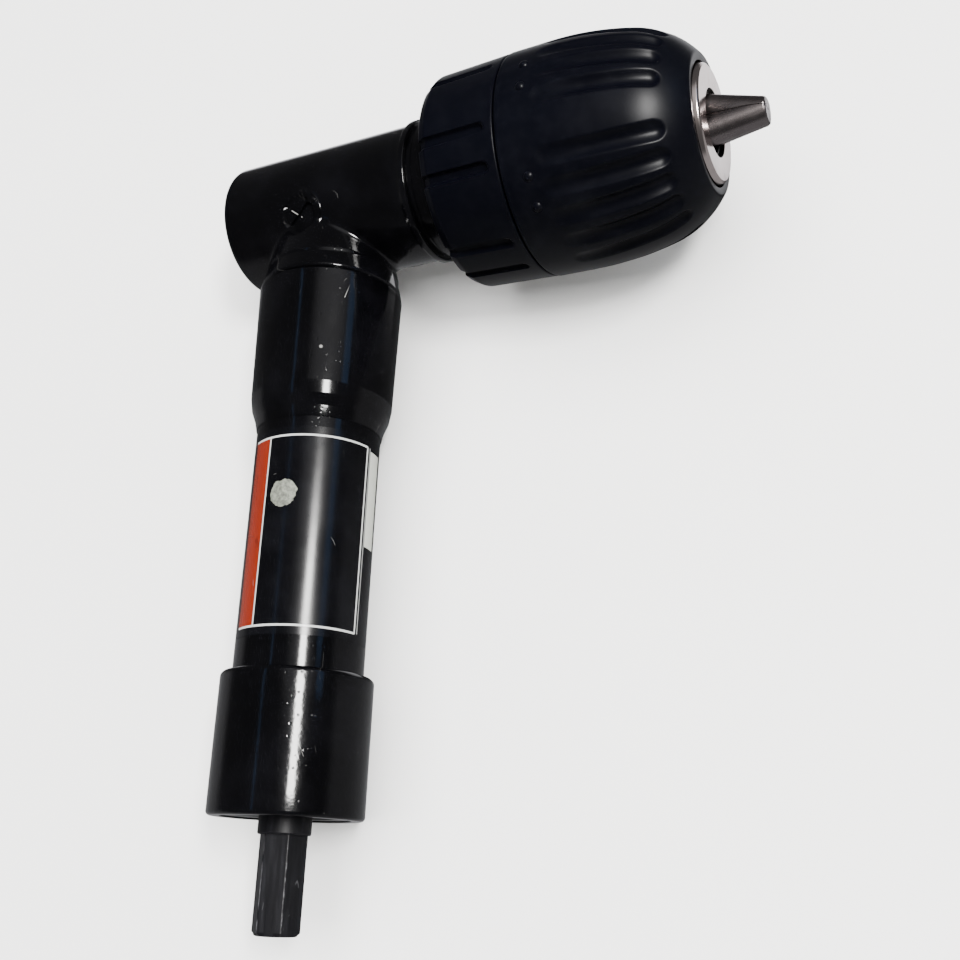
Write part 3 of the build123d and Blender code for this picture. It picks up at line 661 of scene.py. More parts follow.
class Sheet(NodeMaker):
    """A material under construction, with its coordinates in drawing millimetres."""

    def __init__(self, name: str, line: Line = Line.CHUCK) -> None:
        """Starts a material.

        Args:
            name: The material's name.
            line: The centre line whose station and angle the pattern follows.
        """
        self.material = bpy.data.materials.new(name)
        self.material.use_nodes = True
        super().__init__(self.material.node_tree)
        self.tree.nodes.clear()
        self.shader = self.node("ShaderNodeBsdfPrincipled")
        output = self.node("ShaderNodeOutputMaterial")
        self.link(self.shader.outputs[0], output.inputs["Surface"])
        self.mapping = self._mapping(line)
        self.station, self.across, self.up = self.parts(self.mapping)
        self.radius = length_of((self.across, self.up))
        self.angle = (self.across * -1.0).apply("ARCTAN2", self.up).apply("DEGREES")

    def _mapping(self, line: Line) -> Socket:
        """Object coordinates turned and scaled to a line's own millimetres.

        Args:
            line: The centre line.

        Returns:
            The mapped vector.
        """
        coordinates, mapping = self.node("ShaderNodeTexCoord"), self.node("ShaderNodeMapping")
        location, turn, scale = DRAWING.placing(line).inverted().decompose()
        mapping.inputs["Location"].default_value = location
        mapping.inputs["Rotation"].default_value = turn.to_euler("XYZ")
        mapping.inputs["Scale"].default_value = scale
        self.link(coordinates.outputs["Object"], mapping.inputs["Vector"])
        return mapping.outputs[0]

    def stretched(self, along: float, around: float) -> Socket:
        """Coordinates with the station and the other two axes scaled apart.

        Args:
            along: Scale of the station.
            around: Scale of the other two axes.

        Returns:
            The scaled vector.
        """
        node = self.node("ShaderNodeVectorMath")
        node.operation = "MULTIPLY"
        self.link(self.mapping, node.inputs[0])
        node.inputs[1].default_value = (along, around, around)
        return node.outputs[0]

    def noise(self, size: float, detail: float = 2.0, rough: float = 0.5, seed: float = 0.0,
              vector: Optional[Socket] = None) -> Field:
        """Noise between zero and one.

        Args:
            size: Width of its blotches in millimetres.
            detail: Number of finer layers.
            rough: Weight of the finer layers.
            seed: Picks another pattern.
            vector: Coordinates, when not the plain ones.

        Returns:
            The noise.
        """
        node = self.node("ShaderNodeTexNoise")
        node.noise_dimensions = "4D"
        node.inputs["W"].default_value = seed
        node.inputs["Scale"].default_value = 1.0 / size
        node.inputs["Detail"].default_value = detail
        node.inputs["Roughness"].default_value = rough
        self.link(vector or self.mapping, node.inputs["Vector"])
        return self.field(node.outputs[0])

    def specks(self, spacing: float, radius: float, share: float, seed: float, flat: float = 0.7) -> Field:
        """Scattered round specks.

        Args:
            spacing: Mean distance between their possible places, in millimetres.
            radius: Largest radius of a speck in millimetres.
            share: Share of the places that hold one.
            seed: Picks another pattern.
            flat: Share of the radius inside a speck's edge.

        Returns:
            One on a speck and zero elsewhere.
        """
        shift = self.node("ShaderNodeVectorMath")
        self.link(self.mapping, shift.inputs[0])
        shift.inputs[1].default_value = (17.3 * seed, 5.1 * seed, 9.7 * seed)
        node = self.node("ShaderNodeTexVoronoi")
        node.inputs["Scale"].default_value = 1.0 / spacing
        self.link(shift.outputs[0], node.inputs["Vector"])
        pick, width, _ = self.parts(node.outputs["Color"])
        chosen = pick.above(1 - share - 0.01, 1 - share)
        size = width * (0.7 * radius / spacing) + 0.3 * radius / spacing
        gap = self.field(node.outputs["Distance"]) / size
        return gap.below(flat, 1.0) * chosen

    def scratches(self, size: float, width: float, seed: float, along: float = 1.0) -> Field:
        """Fine rare scratches, each a short piece of a wandering line.

        Args:
            size: Size of the loops that the scratches follow, in millimetres.
            width: Width of a line as a share of that size.
            seed: Picks another pattern.
            along: Stretch of the pattern; under one is longer along the station.

        Returns:
            One on a scratch and zero elsewhere.
        """
        vector = self.stretched(along, 1.0)
        line = (self.noise(size, 1.0, 0.4, seed, vector) - 0.5).apply("ABSOLUTE").below(0.25 * width, width)
        patch = self.noise(0.8 * size, 2.0, 0.5, seed + 5.3).above(0.62, 0.66)
        return line * patch

    def spot(self, centre: Sequence[float], radius: float, soft: float) -> Field:
        """One inside a round mark round a place, and zero beyond its soft edge."""
        return length_of(self.gaps_to(centre)).below(radius - soft, radius)

    def gaps_to(self, place: Sequence[float]) -> List[Field]:
        """The three distances from a place, along each axis."""
        return [axis - middle for axis, middle in zip((self.station, self.across, self.up), place)]

    def stroke(self, start: Sequence[float], end: Sequence[float], half_width: float) -> Field:
        """A straight mark between two places; scratches and painted glints are drawn with it.

        Args:
            start: First end in the line's own millimetres.
            end: Other end.
            half_width: Half of the mark's width.

        Returns:
            One on the mark and zero elsewhere.
        """
        along = [last - first for first, last in zip(start, end)]
        length = sum(part * part for part in along)
        gaps = self.gaps_to(start)
        share = gaps[0] * (along[0] / length) + gaps[1] * (along[1] / length) + gaps[2] * (along[2] / length)
        share = share.apply("MAXIMUM", 0.0).apply("MINIMUM", 1.0)
        gaps = [gap - share * part for gap, part in zip(gaps, along)]
        return length_of(gaps).below(0.5 * half_width, half_width)

    def blend(self, low: Union[Colour, Socket], high: Colour, share: Field) -> Socket:
        """Colour that goes from low to high.

        Args:
            low: Colour where the share is zero, or a socket that carries it.
            high: Colour where the share is one.
            share: The share of the high colour.

        Returns:
            The mixed colour's socket.
        """
        node = self.node("ShaderNodeMix")
        node.data_type = "RGBA"
        self.link(share.socket, node.inputs["Factor"])
        if isinstance(low, Socket):
            self.link(low, node.inputs["A"])
        else:
            node.inputs["A"].default_value = (*low, 1.0)
        node.inputs["B"].default_value = (*high, 1.0)
        return node.outputs["Result"]

    def finish(self, colour: Socket, roughness: Field, height: Optional[Field],
               **uniform: float) -> Material:
        """Links the surface and sets its uniform numbers.

        Args:
            colour: Base colour.
            roughness: Roughness.
            height: Height of the fine relief in millimetres.
            uniform: Numbers for other sockets, by name with underscores.

        Returns:
            The finished material.
        """
        self.link(colour, self.shader.inputs["Base Color"])
        self.link(roughness.socket, self.shader.inputs["Roughness"])
        if height is not None:
            bump = self.node("ShaderNodeBump")
            bump.inputs["Distance"].default_value = MM
            self.link(height.socket, bump.inputs["Height"])
            self.link(bump.outputs[0], self.shader.inputs["Normal"])
        for name, number in uniform.items():
            self.shader.inputs[name.replace("_", " ")].default_value = number
        return self.material


@dataclass(frozen=True)
class BlackPaint:
    """Gloss black paint over cast or drawn metal: orange peel, dust, fine scratches, chips, and painted glints
    drawn as strokes.
    """

    name: str = "black_paint"
    line: Line = Line.BARREL
    colour: Colour = (0.0006, 0.0006, 0.0008)
    worn: Colour = (0.0018, 0.0018, 0.0024)
    # Light colour of chips, dust, scratches and painted glints.
    chip: Colour = (0.60, 0.60, 0.57)
    peel_size: float = 1.7
    peel_height: float = 0.014
    cast_height: float = 0.010
    chips: Tuple[Tuple[Tuple[float, float, float], float], ...] = ()
    strokes: Tuple[Tuple[Tuple[float, float, float], Tuple[float, float, float], float], ...] = ()

    def material(self) -> Material:
        """Builds the paint."""
        sheet = Sheet(self.name, self.line)
        blotch = sheet.noise(9.0, 3.0, 0.55, 1.0)
        colour = sheet.blend(self.colour, self.worn, blotch.above(0.35, 0.85))
        scratch = sheet.scratches(9.0, 0.0022, 3.0, 0.35)
        dust = sheet.specks(1.8, 0.07, 0.30, 7.0)
        marks = (scratch * 0.07).apply("MAXIMUM", dust * 0.30)
        for centre, size in self.chips:
            marks = marks.apply("MAXIMUM", sheet.spot(centre, size, 0.6 * size) * 0.4)
        # The strokes hold scratches and painted glints, light marks where a highlight falls.
        for start, end, half_width in self.strokes:
            marks = marks.apply("MAXIMUM", sheet.stroke(start, end, half_width) * min(1.0, 5 * half_width))
        colour = sheet.blend(colour, self.chip, marks * 0.6)
        rough = sheet.noise(3.5, 2.0, 0.5, 11.0) * 0.08 + 0.07 + marks * 0.35
        peel = sheet.noise(self.peel_size, 2.0, 0.5, 2.0) * self.peel_height
        cast = sheet.noise(5.5, 1.0, 0.4, 4.0) * self.cast_height
        worn = sheet.noise(0.5, 2.0, 0.6, 21.0).above(0.35, 0.60)
        nicks = sheet.specks(1.1, 0.40, 0.70, 9.0, 0.0) * worn * -0.03
        height = peel + cast + nicks + dust * 0.01 - scratch * 0.002
        return sheet.finish(colour, rough, height, Specular_IOR_Level=0.38)


@dataclass(frozen=True)
class SleevePlastic:
    """Fine matte moulded plastic of the grip sleeves, with a faint rub on what stands out."""

    name: str = "sleeve_plastic"
    colour: Colour = (0.0008, 0.0009, 0.0020)
    rubbed: Colour = (0.0026, 0.0028, 0.0044)
    grain_size: float = 0.28
    grain_height: float = 0.0055

    def material(self) -> Material:
        """Builds the plastic."""
        sheet = Sheet(self.name, Line.CHUCK)
        smudge = sheet.noise(8.0, 4.0, 0.6, 2.0)
        rub = sheet.radius.above(21.2, 22.1) * sheet.noise(2.4, 3.0, 0.6, 5.0).above(0.42, 0.7)
        colour = sheet.blend(self.colour, self.rubbed, (smudge.above(0.45, 0.8) * 0.45 + rub * 0.35))
        dust = sheet.specks(1.6, 0.06, 0.40, 3.0)
        colour = sheet.blend(colour, (0.10, 0.10, 0.10), dust * 0.4)
        rough = smudge * 0.12 + 0.29 + dust * 0.2
        grain = sheet.noise(self.grain_size, 2.0, 0.6, 8.0) * self.grain_height
        flow = sheet.noise(6.0, 1.0, 0.4, 6.0) * 0.02
        return sheet.finish(colour, rough, grain + flow, Specular_IOR_Level=0.14)


@dataclass(frozen=True)
class Metal:
    """Bare or plated metal with tool marks that run round the axis or along it, and a bore that may be darkened as
    painted shade.
    """

    name: str
    colour: Colour
    stain: Colour
    roughness: float
    line: Line = Line.CHUCK
    grain: Grain = Grain.ROUND
    grain_size: float = 0.25
    grain_height: float = 0.002
    cloud_height: float = 0.002
    metallic: float = 1.0
    # Radius inside which the bore gets painted shade; zero leaves it bare.
    dark_bore: float = 0.0

    def material(self) -> Material:
        """Builds the metal."""
        sheet = Sheet(self.name, self.line)
        cloud = sheet.noise(3.2, 3.0, 0.6, 1.5)
        colour = sheet.blend(self.colour, self.stain, cloud.above(0.45, 0.85))
        # Painted shade: the bore inside this radius is darkened where shade falls in the hole.
        if self.dark_bore:
            bore = sheet.radius.below(self.dark_bore, self.dark_bore + 0.1)
            colour = sheet.blend(colour, (0.02, 0.017, 0.016), bore)
        if self.grain is Grain.ROUND:
            marks = sheet.noise(self.grain_size, 2.0, 0.6, 4.0, sheet.stretched(1.0, 0.04))
            turned = sheet.noise(self.grain_size, 1.0, 0.5, 6.0, sheet.stretched(1.0, 0.0))
            marks = (marks + turned) * 0.5
        elif self.grain is Grain.ALONG:
            marks = sheet.noise(self.grain_size, 3.0, 0.6, 4.0, sheet.stretched(0.04, 1.0))
        else:
            marks = sheet.noise(self.grain_size, 3.0, 0.6, 4.0)
        rough = cloud * 0.10 + marks * 0.12 + (self.roughness - 0.11)
        height = marks * self.grain_height + sheet.noise(2.2, 2.0, 0.5, 9.0) * self.cloud_height
        return sheet.finish(colour, rough, height, Metallic=self.metallic)


@dataclass(frozen=True)
class BlackOxide:
    """Matte black oxide on the hex shank, with bright wear along the corners and dull streaks."""

    name: str = "black_oxide"
    corner_radius: float = 4.584
    colour: Colour = (0.0025, 0.0025, 0.0032)
    worn: Colour = (0.12, 0.12, 0.13)

    def material(self) -> Material:
        """Builds the oxide."""
        sheet = Sheet(self.name, Line.BARREL)
        streak = sheet.noise(0.7, 3.0, 0.6, 2.0, sheet.stretched(0.08, 1.0))
        colour = sheet.blend(self.colour, (0.006, 0.006, 0.0075), streak.above(0.4, 0.75))
        ridge = sheet.radius.above(self.corner_radius - 0.10, self.corner_radius - 0.02)
        ragged = sheet.noise(1.1, 3.0, 0.7, 6.0, sheet.stretched(0.4, 1.0)).above(0.40, 0.58)
        shank = sheet.station.above(129.0, 130.5)
        wear = ridge * ragged * shank
        scuffs = sheet.scratches(3.0, 0.006, 8.0, 0.3) * 0.2
        colour = sheet.blend(colour, self.worn, wear.apply("MAXIMUM", scuffs))
        rough = streak * 0.15 + 0.38 - wear * 0.12
        height = streak * 0.004 + sheet.noise(0.4, 2.0, 0.6, 5.0) * 0.003 - wear * 0.004
        return sheet.finish(colour, rough, height, Specular_IOR_Level=0.22)


@dataclass(frozen=True)
class BlankLabel:
    """Film label with a plain field, a frame line, a coloured band and a bare strip; no lettering."""

    name: str = "label_film"
    field_colour: Colour = (0.0009, 0.0009, 0.0013)
    line_colour: Colour = (0.40, 0.41, 0.40)
    band_colour: Colour = (0.125, 0.0105, 0.0030)
    strip_colour: Colour = (0.36, 0.37, 0.335)
    patch_colour: Colour = (0.16, 0.17, 0.14)
    top: float = 55.5
    bottom: float = 92.5
    band_right: float = 11.5
    band_left: float = 34.0
    frame_right: float = -86.0
    strip_left: float = -91.0
    strip_right: float = -108.5
    strip_end: float = 75.4
    line_half_width: float = 0.17
    patch_station: float = 67.1
    patch_angle: float = -7.5
    patch_radius: float = 2.8
    film_radius: float = 12.5

    def material(self) -> Material:
        """Builds the printed film."""
        sheet = Sheet(self.name, Line.BARREL)
        degree = math.radians(self.film_radius)
        half, soft = self.line_half_width, 0.06
        half_angle, soft_angle = half / degree, soft / degree
        inside = sheet.station.between(self.top, self.bottom, soft)
        rows = sheet.station.near(self.top, half, soft)
        rows = rows.apply("MAXIMUM", sheet.station.near(self.bottom, half, soft))
        rows = rows * sheet.angle.between(self.frame_right, self.band_left, soft_angle)
        right = sheet.angle.near(self.frame_right, half_angle, soft_angle)
        second = sheet.angle.near(self.strip_left + 1.3, 0.7 * half_angle, soft_angle) * 0.45
        divider = sheet.angle.near(self.band_right, 0.8 * half_angle, soft_angle)
        lines = rows.apply("MAXIMUM", inside * (right + divider).apply("MAXIMUM", second))
        band = inside * sheet.angle.between(self.band_right, self.band_left, soft_angle)
        strip = sheet.angle.between(self.strip_right, self.strip_left, soft_angle)
        strip = strip * sheet.station.between(self.top + 0.6, self.strip_end, soft)
        ink = sheet.noise(0.35, 3.0, 0.6, 2.0)
        rubbed = sheet.noise(2.6, 4.0, 0.65, 3.0).above(0.60, 0.70)
        mottle = sheet.noise(7.0, 3.0, 0.6, 4.0).above(0.4, 0.8)
        colour = sheet.blend(self.field_colour, (0.0026, 0.0027, 0.0036), mottle)
        colour = sheet.blend(colour, self.band_colour, band * (rubbed * -0.35 + 1.0) * (ink * 0.2 + 0.85))
        colour = sheet.blend(colour, self.strip_colour, strip * (ink * 0.25 + 0.78))
        colour = sheet.blend(colour, self.line_colour, lines * (ink * 0.5 + 0.6).apply("MINIMUM", 1.0))
        patch = self._patch(sheet, degree)
        mottle = sheet.noise(0.9, 4.0, 0.7, 14.0).stepped(0.35, 0.65, 0.35, 1.0)
        colour = sheet.blend(colour, self.patch_colour, patch * mottle)
        scrape = sheet.scratches(7.0, 0.003, 12.0, 0.5) * 0.3
        colour = sheet.blend(colour, (0.35, 0.35, 0.34), scrape)
        rough = sheet.noise(4.0, 3.0, 0.5, 6.0) * 0.12 + 0.13 + patch * 0.35 + scrape * 0.3
        height = sheet.noise(2.4, 2.0, 0.5, 7.0) * 0.006 + lines * 0.006 - patch * 0.02
        return sheet.finish(colour, rough, height, Specular_IOR_Level=0.4)

    def _patch(self, sheet: Sheet, degree: float) -> Field:
        """Round rubbed patch with a ragged edge.

        Args:
            sheet: The material under construction.
            degree: Length of one degree of the film in millimetres.

        Returns:
            One on the patch and zero elsewhere.
        """
        sideways = (sheet.angle - self.patch_angle) * degree
        along = sheet.station - self.patch_station
        gap = length_of((sideways, along))
        ragged = gap + (sheet.noise(1.1, 3.0, 0.6, 9.0) - 0.5) * 1.6
        return ragged.below(self.patch_radius - 0.15, self.patch_radius)


@dataclass(frozen=True)
class PaleFloor:
    """Plain pale studio floor."""

    name: str = "pale_floor"
    colour: Colour = (0.86, 0.86, 0.855)

    def material(self) -> Material:
        """Builds the floor's finish."""
        sheet = Sheet(self.name, Line.CHUCK)
        cloud = sheet.noise(60.0, 2.0, 0.5, 1.0)
        colour = sheet.blend(self.colour, (0.83, 0.83, 0.825), cloud)
        rough = sheet.noise(12.0, 2.0, 0.5, 3.0) * 0.08 + 0.62
        return sheet.finish(colour, rough, None)


@dataclass
class Finishes:
    """Every material of the object, made once."""

    # The head paint's stroke is a painted glint on the grease screw's slot edge.
    paint: Material = field(default_factory=BlackPaint(
        "head_paint", Line.CHUCK, peel_size=1.6, cast_height=0.014,
        strokes=(((-2.8, -5.4, 12.65), (-0.7, -6.9, 11.85), 0.12),)).material)
    # The neck paint's chip and first stroke are real wear; its second stroke is a painted glint on the neck's top
    # edge.
    neck_paint: Material = field(default_factory=BlackPaint(
        "barrel_paint", chips=(((37.8, 7.4, 12.4), 0.45),),
        strokes=(((23.9, 11.2, 9.8), (26.7, 10.6, 10.3), 0.14),
                 ((20.4, 13.0, 6.0), (20.9, 13.2, 5.6), 0.2))).material)
    collar_paint: Material = field(default_factory=BlackPaint(
        "collar_paint", peel_size=0.9, peel_height=0.017, cast_height=0.016,
        strokes=(((113.3, 9.2, 11.2), (115.9, 10.1, 10.4), 0.05),)).material)
    plastic: Material = field(default_factory=SleevePlastic().material)
    oxide: Material = field(default_factory=BlackOxide().material)
    label: Material = field(default_factory=BlankLabel().material)
    # The nickel ring's bore is darkened with painted shade.
    nickel: Material = field(default_factory=Metal(
        "bright_nickel", (0.72, 0.63, 0.60), (0.58, 0.49, 0.46), 0.17,
        grain_height=0.0012, dark_bore=6.38).material)
    jaw: Material = field(default_factory=Metal(
        "jaw_steel", (0.25, 0.22, 0.22), (0.20, 0.172, 0.172), 0.28,
        grain=Grain.ALONG, grain_size=0.35, grain_height=0.0016, cloud_height=0.0006).material)
    steel: Material = field(default_factory=Metal(
        "machined_steel", (0.45, 0.45, 0.44), (0.30, 0.29, 0.28), 0.34).material)
    shaft_steel: Material = field(default_factory=Metal(
        "shaft_steel", (0.42, 0.42, 0.42), (0.28, 0.28, 0.27), 0.36, Line.BARREL).material)
    race: Material = field(default_factory=Metal(
        "bearing_steel", (0.62, 0.62, 0.61), (0.45, 0.45, 0.43), 0.22, Line.BARREL).material)
    bronze: Material = field(default_factory=Metal(
        "sintered_bronze", (0.50, 0.32, 0.15), (0.32, 0.20, 0.10), 0.48, grain=Grain.NONE).material)
    rubber: Material = field(default_factory=Metal(
        "seal_rubber", (0.012, 0.012, 0.012), (0.03, 0.03, 0.03), 0.6,
        grain=Grain.NONE, metallic=0.0).material)

    def by_slot(self) -> Dict[str, Material]:
        """Material of each of the record's slots, for the nodes that keep their own mesh."""
        return {
            "black_cast_paint": self.paint, "black_steel_paint": self.neck_paint,
            "black_oxide_steel": self.oxide, "sleeve_plastic": self.plastic, "label_film": self.label,
            "bright_nickel": self.nickel, "jaw_steel": self.jaw, "machined_steel": self.steel,
            "bearing_steel": self.race, "sintered_bronze": self.bronze, "seal_rubber": self.rubber,
        }


def stand_for(piece: Piece, material: Material, body: str, slot: str, *nodes: str) -> None:
    """Dresses a piece, lets it ride on its body and replaces nodes with it.

    Args:
        piece: The placed piece.
        material: Its finish.
        body: The body that it rides on.
        slot: The record's material slot; not used.
        nodes: The nodes that it stands for.
    """
    piece.data.materials.clear()
    piece.data.materials.append(material)
    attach(piece, body)
    if nodes:
        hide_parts(*nodes)
    piece.data.calc_loop_triangles()
    LOG.info("%s: %d triangles on %s", piece.name, len(piece.data.loop_triangles), body)


# The object


@dataclass
class AngleHead:
    """Cast head: cross barrel with a front rim, saddle, neck, grease recess and plugs."""

    finishes: Finishes
    radius: float = 14.05
    rear: float = -20.6
    front: float = 24.5
    rear_round: float = 1.5
    face_inset: float = 0.4
    rim_height: float = 0.65
    rim_width: float = 1.2
    rim_bore: float = 12.2
    saddle: Outline = ((0.0, 11.6), (6.0, 11.6), (15.8, 13.90), (16.1, 13.76), (19.8, 14.7), (20.25, 14.38),
                       (20.3, 0.0), (0.0, 0.0))
    blend_size: float = 1.1
    voxel: float = 0.3
    slope_step: float = 0.02
    skin_passes: int = 5
    recess_station: float = -1.0
    recess_angle: float = 28.0
    recess_radius: float = 4.0
    recess_floor: float = 12.8
    screw_radius: float = 3.5
    screw_stem: float = 2.4
    screw_height: float = 0.9
    slot_angle: float = 38.0
    flash_wall: float = 1.2
    flash_root: float = 9.0
    flash_top: float = 14.5
    plug_radius: float = 9.5
    plug_depth: float = 2.6
    retainer_radius: float = 14.2
    retainer_front: float = 30.3
    retainer_bore: float = 8.4
    retainer_thread: float = 11.9

    def build(self) -> None:
        """Builds every piece of the head."""
        paint = self.finishes.paint
        stand_for(self.casting(), paint, "housing", "black_cast_paint", "head_casting")
        stand_for(self.rim(), paint, "housing", "black_cast_paint")
        stand_for(self.neck(), self.finishes.neck_paint, "housing", "black_cast_paint")
        stand_for(self.rear_plug(), paint, "housing", "black_oxide_steel", "rear_plug")
        stand_for(self.grease_plug(), paint, "housing", "black_oxide_steel", "grease_plug")
        stand_for(self.retainer(), paint, "housing", "black_steel_paint", "front_retainer")

    @staticmethod
    def outline_distance(points: np.ndarray, corners: Sequence[Tuple[float, float]]) -> np.ndarray:
        """Signed distance to a closed outline, negative inside.

        Args:
            points: Rows of station and radius.
            corners: The outline.

        Returns:
            One distance for each point.
        """
        outline = np.array(corners, float)
        best = np.full(len(points), np.inf)
        inside = np.zeros(len(points), bool)
        for start, end in zip(outline, np.roll(outline, -1, axis=0)):
            side = end - start
            off = points - start
            share = np.clip(off @ side / (side @ side), 0, 1)
            best = np.minimum(best, np.linalg.norm(off - share[:, None] * side, axis=1))
            crosses = (start[1] > points[:, 1]) != (end[1] > points[:, 1])
            rise = side[1] if abs(side[1]) > 1e-12 else 1e-12
            inside ^= crosses & (off[:, 0] < side[0] * (points[:, 1] - start[1]) / rise)
        return np.where(inside, -best, best)

    @staticmethod
    def merged(first: np.ndarray, second: np.ndarray, size: float) -> np.ndarray:
        """Union of two distance fields with a fillet of about the given size."""
        share = np.clip(0.5 + 0.5 * (second - first) / size, 0, 1)
        return second + (first - second) * share - size * share * (1 - share)

    def turned_distance(self, station: np.ndarray, reach: np.ndarray, corners: Sequence[Tuple[float, float]],
                        rounding: float) -> np.ndarray:
        """Distance to a turned solid whose outline, given already inset, is rounded by a radius."""
        mirrored = [(s, max(r, -1.0) if r > 0 else -30.0) for s, r in corners]
        return self.outline_distance(np.stack((station, reach), axis=1), mirrored) - rounding

    def field(self, points: np.ndarray) -> np.ndarray:
        """Signed distance to the casting's skin.

        Args:
            points: Rows of drawing coordinates in millimetres.

        Returns:
            One distance for each point.
        """
        x, y, z = points.T
        inset = self.rear_round
        cross = self.turned_distance(x, np.hypot(y, z), (
            (self.rear + inset, 0), (self.rear + inset, self.radius - inset),
            (self.front - 1.0, self.radius - inset), (self.front - 1.0, 0)), inset)
        cross = np.maximum(cross, x - (self.front - self.face_inset))
        neck = self.turned_distance(-y, np.hypot(x, z), self.saddle, 0.0)
        skin = self.merged(cross, neck, self.blend_size)
        lean = math.radians(self.recess_angle)
        depth = -y * math.sin(lean) + z * math.cos(lean)
        sideways = -y * math.cos(lean) - z * math.sin(lean)
        from_line = np.hypot(x - self.recess_station, sideways)
        around = np.arctan2(sideways, x - self.recess_station)
        ragged = 0.30 * np.sin(9 * around + 1.0)
        ragged = ragged + 0.24 * np.sin(17 * around) + 0.18 * np.sin(29 * around + 2.0)
        top = self.flash_top + ragged + 0.5 * np.clip(np.cos(around - 0.35), -1, 1)
        wall = np.maximum(from_line - self.recess_radius - self.flash_wall, depth - top)
        wall = np.maximum(wall, self.flash_root - depth)
        wall = np.maximum(wall, 1.6 - (x - self.recess_station) + 0.4 * np.sin(7 * around))
        skin = self.merged(skin, wall, 0.5)
        hole = np.maximum(from_line - self.recess_radius, self.recess_floor - depth)
        return -self.merged(-skin, hole, 0.25)

    def casting(self) -> Piece:
        """Cross barrel and saddle in one skin, pulled onto the smooth field."""
        rear, radius, face = self.rear, self.radius, self.front - self.face_inset
        cross = lathe("cross", rounded(((rear, 0, 0), (rear, radius, self.rear_round), (face, radius, 0),
                                        (face, 0, 0))), 96)
        saddle = lathe("saddle", np.array(self.saddle), 96)
        saddle.transform(Matrix.Rotation(math.radians(-90), 4, "Z"))
        root, top, outer = self.flash_root, self.flash_top, self.recess_radius + self.flash_wall
        wall = lathe("wall", np.array(((root, 0), (top, 0), (top, outer), (root, outer))), 48)
        wall.transform(Matrix.Translation((self.recess_station, 0, 0)) @ Matrix.Rotation(
            math.radians(self.recess_angle), 4, "X") @ Matrix.Rotation(math.radians(-90), 4, "Y"))
        build = bmesh.new()
        for part in (cross, saddle, wall):
            build.from_mesh(part)
        joined = bpy.data.meshes.new("head_casting_skin")
        build.to_mesh(joined)
        build.free()
        body = loose(joined)
        remesh = body.modifiers.new("remesh", "REMESH")
        remesh.mode = "VOXEL"
        remesh.voxel_size = self.voxel
        mesh = baked(body, "head_casting_skin")
        self.pull_to_skin(mesh)
        start, floor, edge = rear - 1, rear + self.plug_depth, self.plug_radius + 0.05
        hole = lathe("plug_hole", np.array(((start, 0), (floor, 0), (floor, edge), (start, edge))), 144)
        return place(cut(mesh, hole), Line.CHUCK, 40.0)

    def pull_to_skin(self, mesh: Mesh) -> None:
        """Moves each vertex onto the zero of the field, in place.

        Args:
            mesh: The remeshed casting in millimetres.
        """
        points = np.zeros(len(mesh.vertices) * 3)
        mesh.vertices.foreach_get("co", points)
        points = points.reshape(-1, 3)
        step = self.slope_step
        for _ in range(self.skin_passes):
            value = self.field(points)
            slope = np.stack([self.field(points + step * axis) - self.field(points - step * axis)
                              for axis in np.eye(3)], axis=1) / (2 * step)
            length = np.maximum((slope ** 2).sum(axis=1), 0.25)
            points = points - (0.9 * value / length)[:, None] * slope
        mesh.vertices.foreach_set("co", points.ravel())
        mesh.update()

    def rim(self) -> Piece:
        """Raised rim round the front of the head."""
        radius, front, start = self.radius, self.front, self.front - self.rim_width
        high, bore = radius + self.rim_height, self.rim_bore
        outline = rounded(((start - 1.6, radius - 0.6, 0), (start - self.rim_height - 0.2, radius, 0.3),
                           (start, high, 0.25), (front, high, 0.3), (front, bore, 0.15),
                           (start - 1.6, bore, 0)))
        return place(lathe("head_rim", outline), Line.CHUCK)

    def neck(self) -> Piece:
        """Neck below the saddle, with its lines and the shoulder onto the tube."""
        outline = rounded(((20.25, 12.0, 0), (20.25, 14.35, 0.1), (20.75, 14.86, 0.16), (21.8, 14.8, 0.8),
                           (44.7, 14.3, 1.6), (47.2, 13.9, 1.2), (49.4, 13.05, 0.8), (51.5, 12.6, 0.12),
                           (51.5, 12.42, 0), (44.0, 12.42, 0), (44.0, 12.0, 0)), 6)
        return place(lathe("neck", divided(outline, 4.0)), Line.BARREL)

    def rear_plug(self) -> Piece:
        """Dished cap in the rear of the head."""
        rear, radius = self.rear, self.plug_radius
        outline = rounded(((rear + 0.35, 0, 0), (rear + 0.35, radius - 2.6, 0.4), (rear, radius - 1.7, 0.4),
                           (rear, radius, 0.4), (rear + 2.5, radius, 0), (rear + 2.5, 0, 0)))
        return place(lathe("rear_plug_cap", outline, 144), Line.CHUCK)

    def grease_plug(self) -> Piece:
        """Slotted screw plug, drawn on its own line and turned into the recess."""
        seat, radius, stem = self.recess_floor, self.screw_radius, self.screw_stem
        top, foot = seat + self.screw_height, seat - 1.2
        outline = rounded(((foot, 0, 0), (top, 0, 0), (top, radius, 0.35), (seat, radius, 0), (seat, stem, 0),
                           (foot, stem, 0)))
        slot = turned_about_x(block("slot", (top, 0, 0), (1.0, 0.9, 9.0)), self.slot_angle)
        screw = cut(lathe("grease_screw", outline, 72), slot)
        screw.transform(Matrix.Rotation(math.radians(self.recess_angle), 4, "X") @ Matrix.Translation(
            (self.recess_station, 0, 0)) @ Matrix.Rotation(math.radians(-90), 4, "Y"))
        return place(screw, Line.CHUCK)

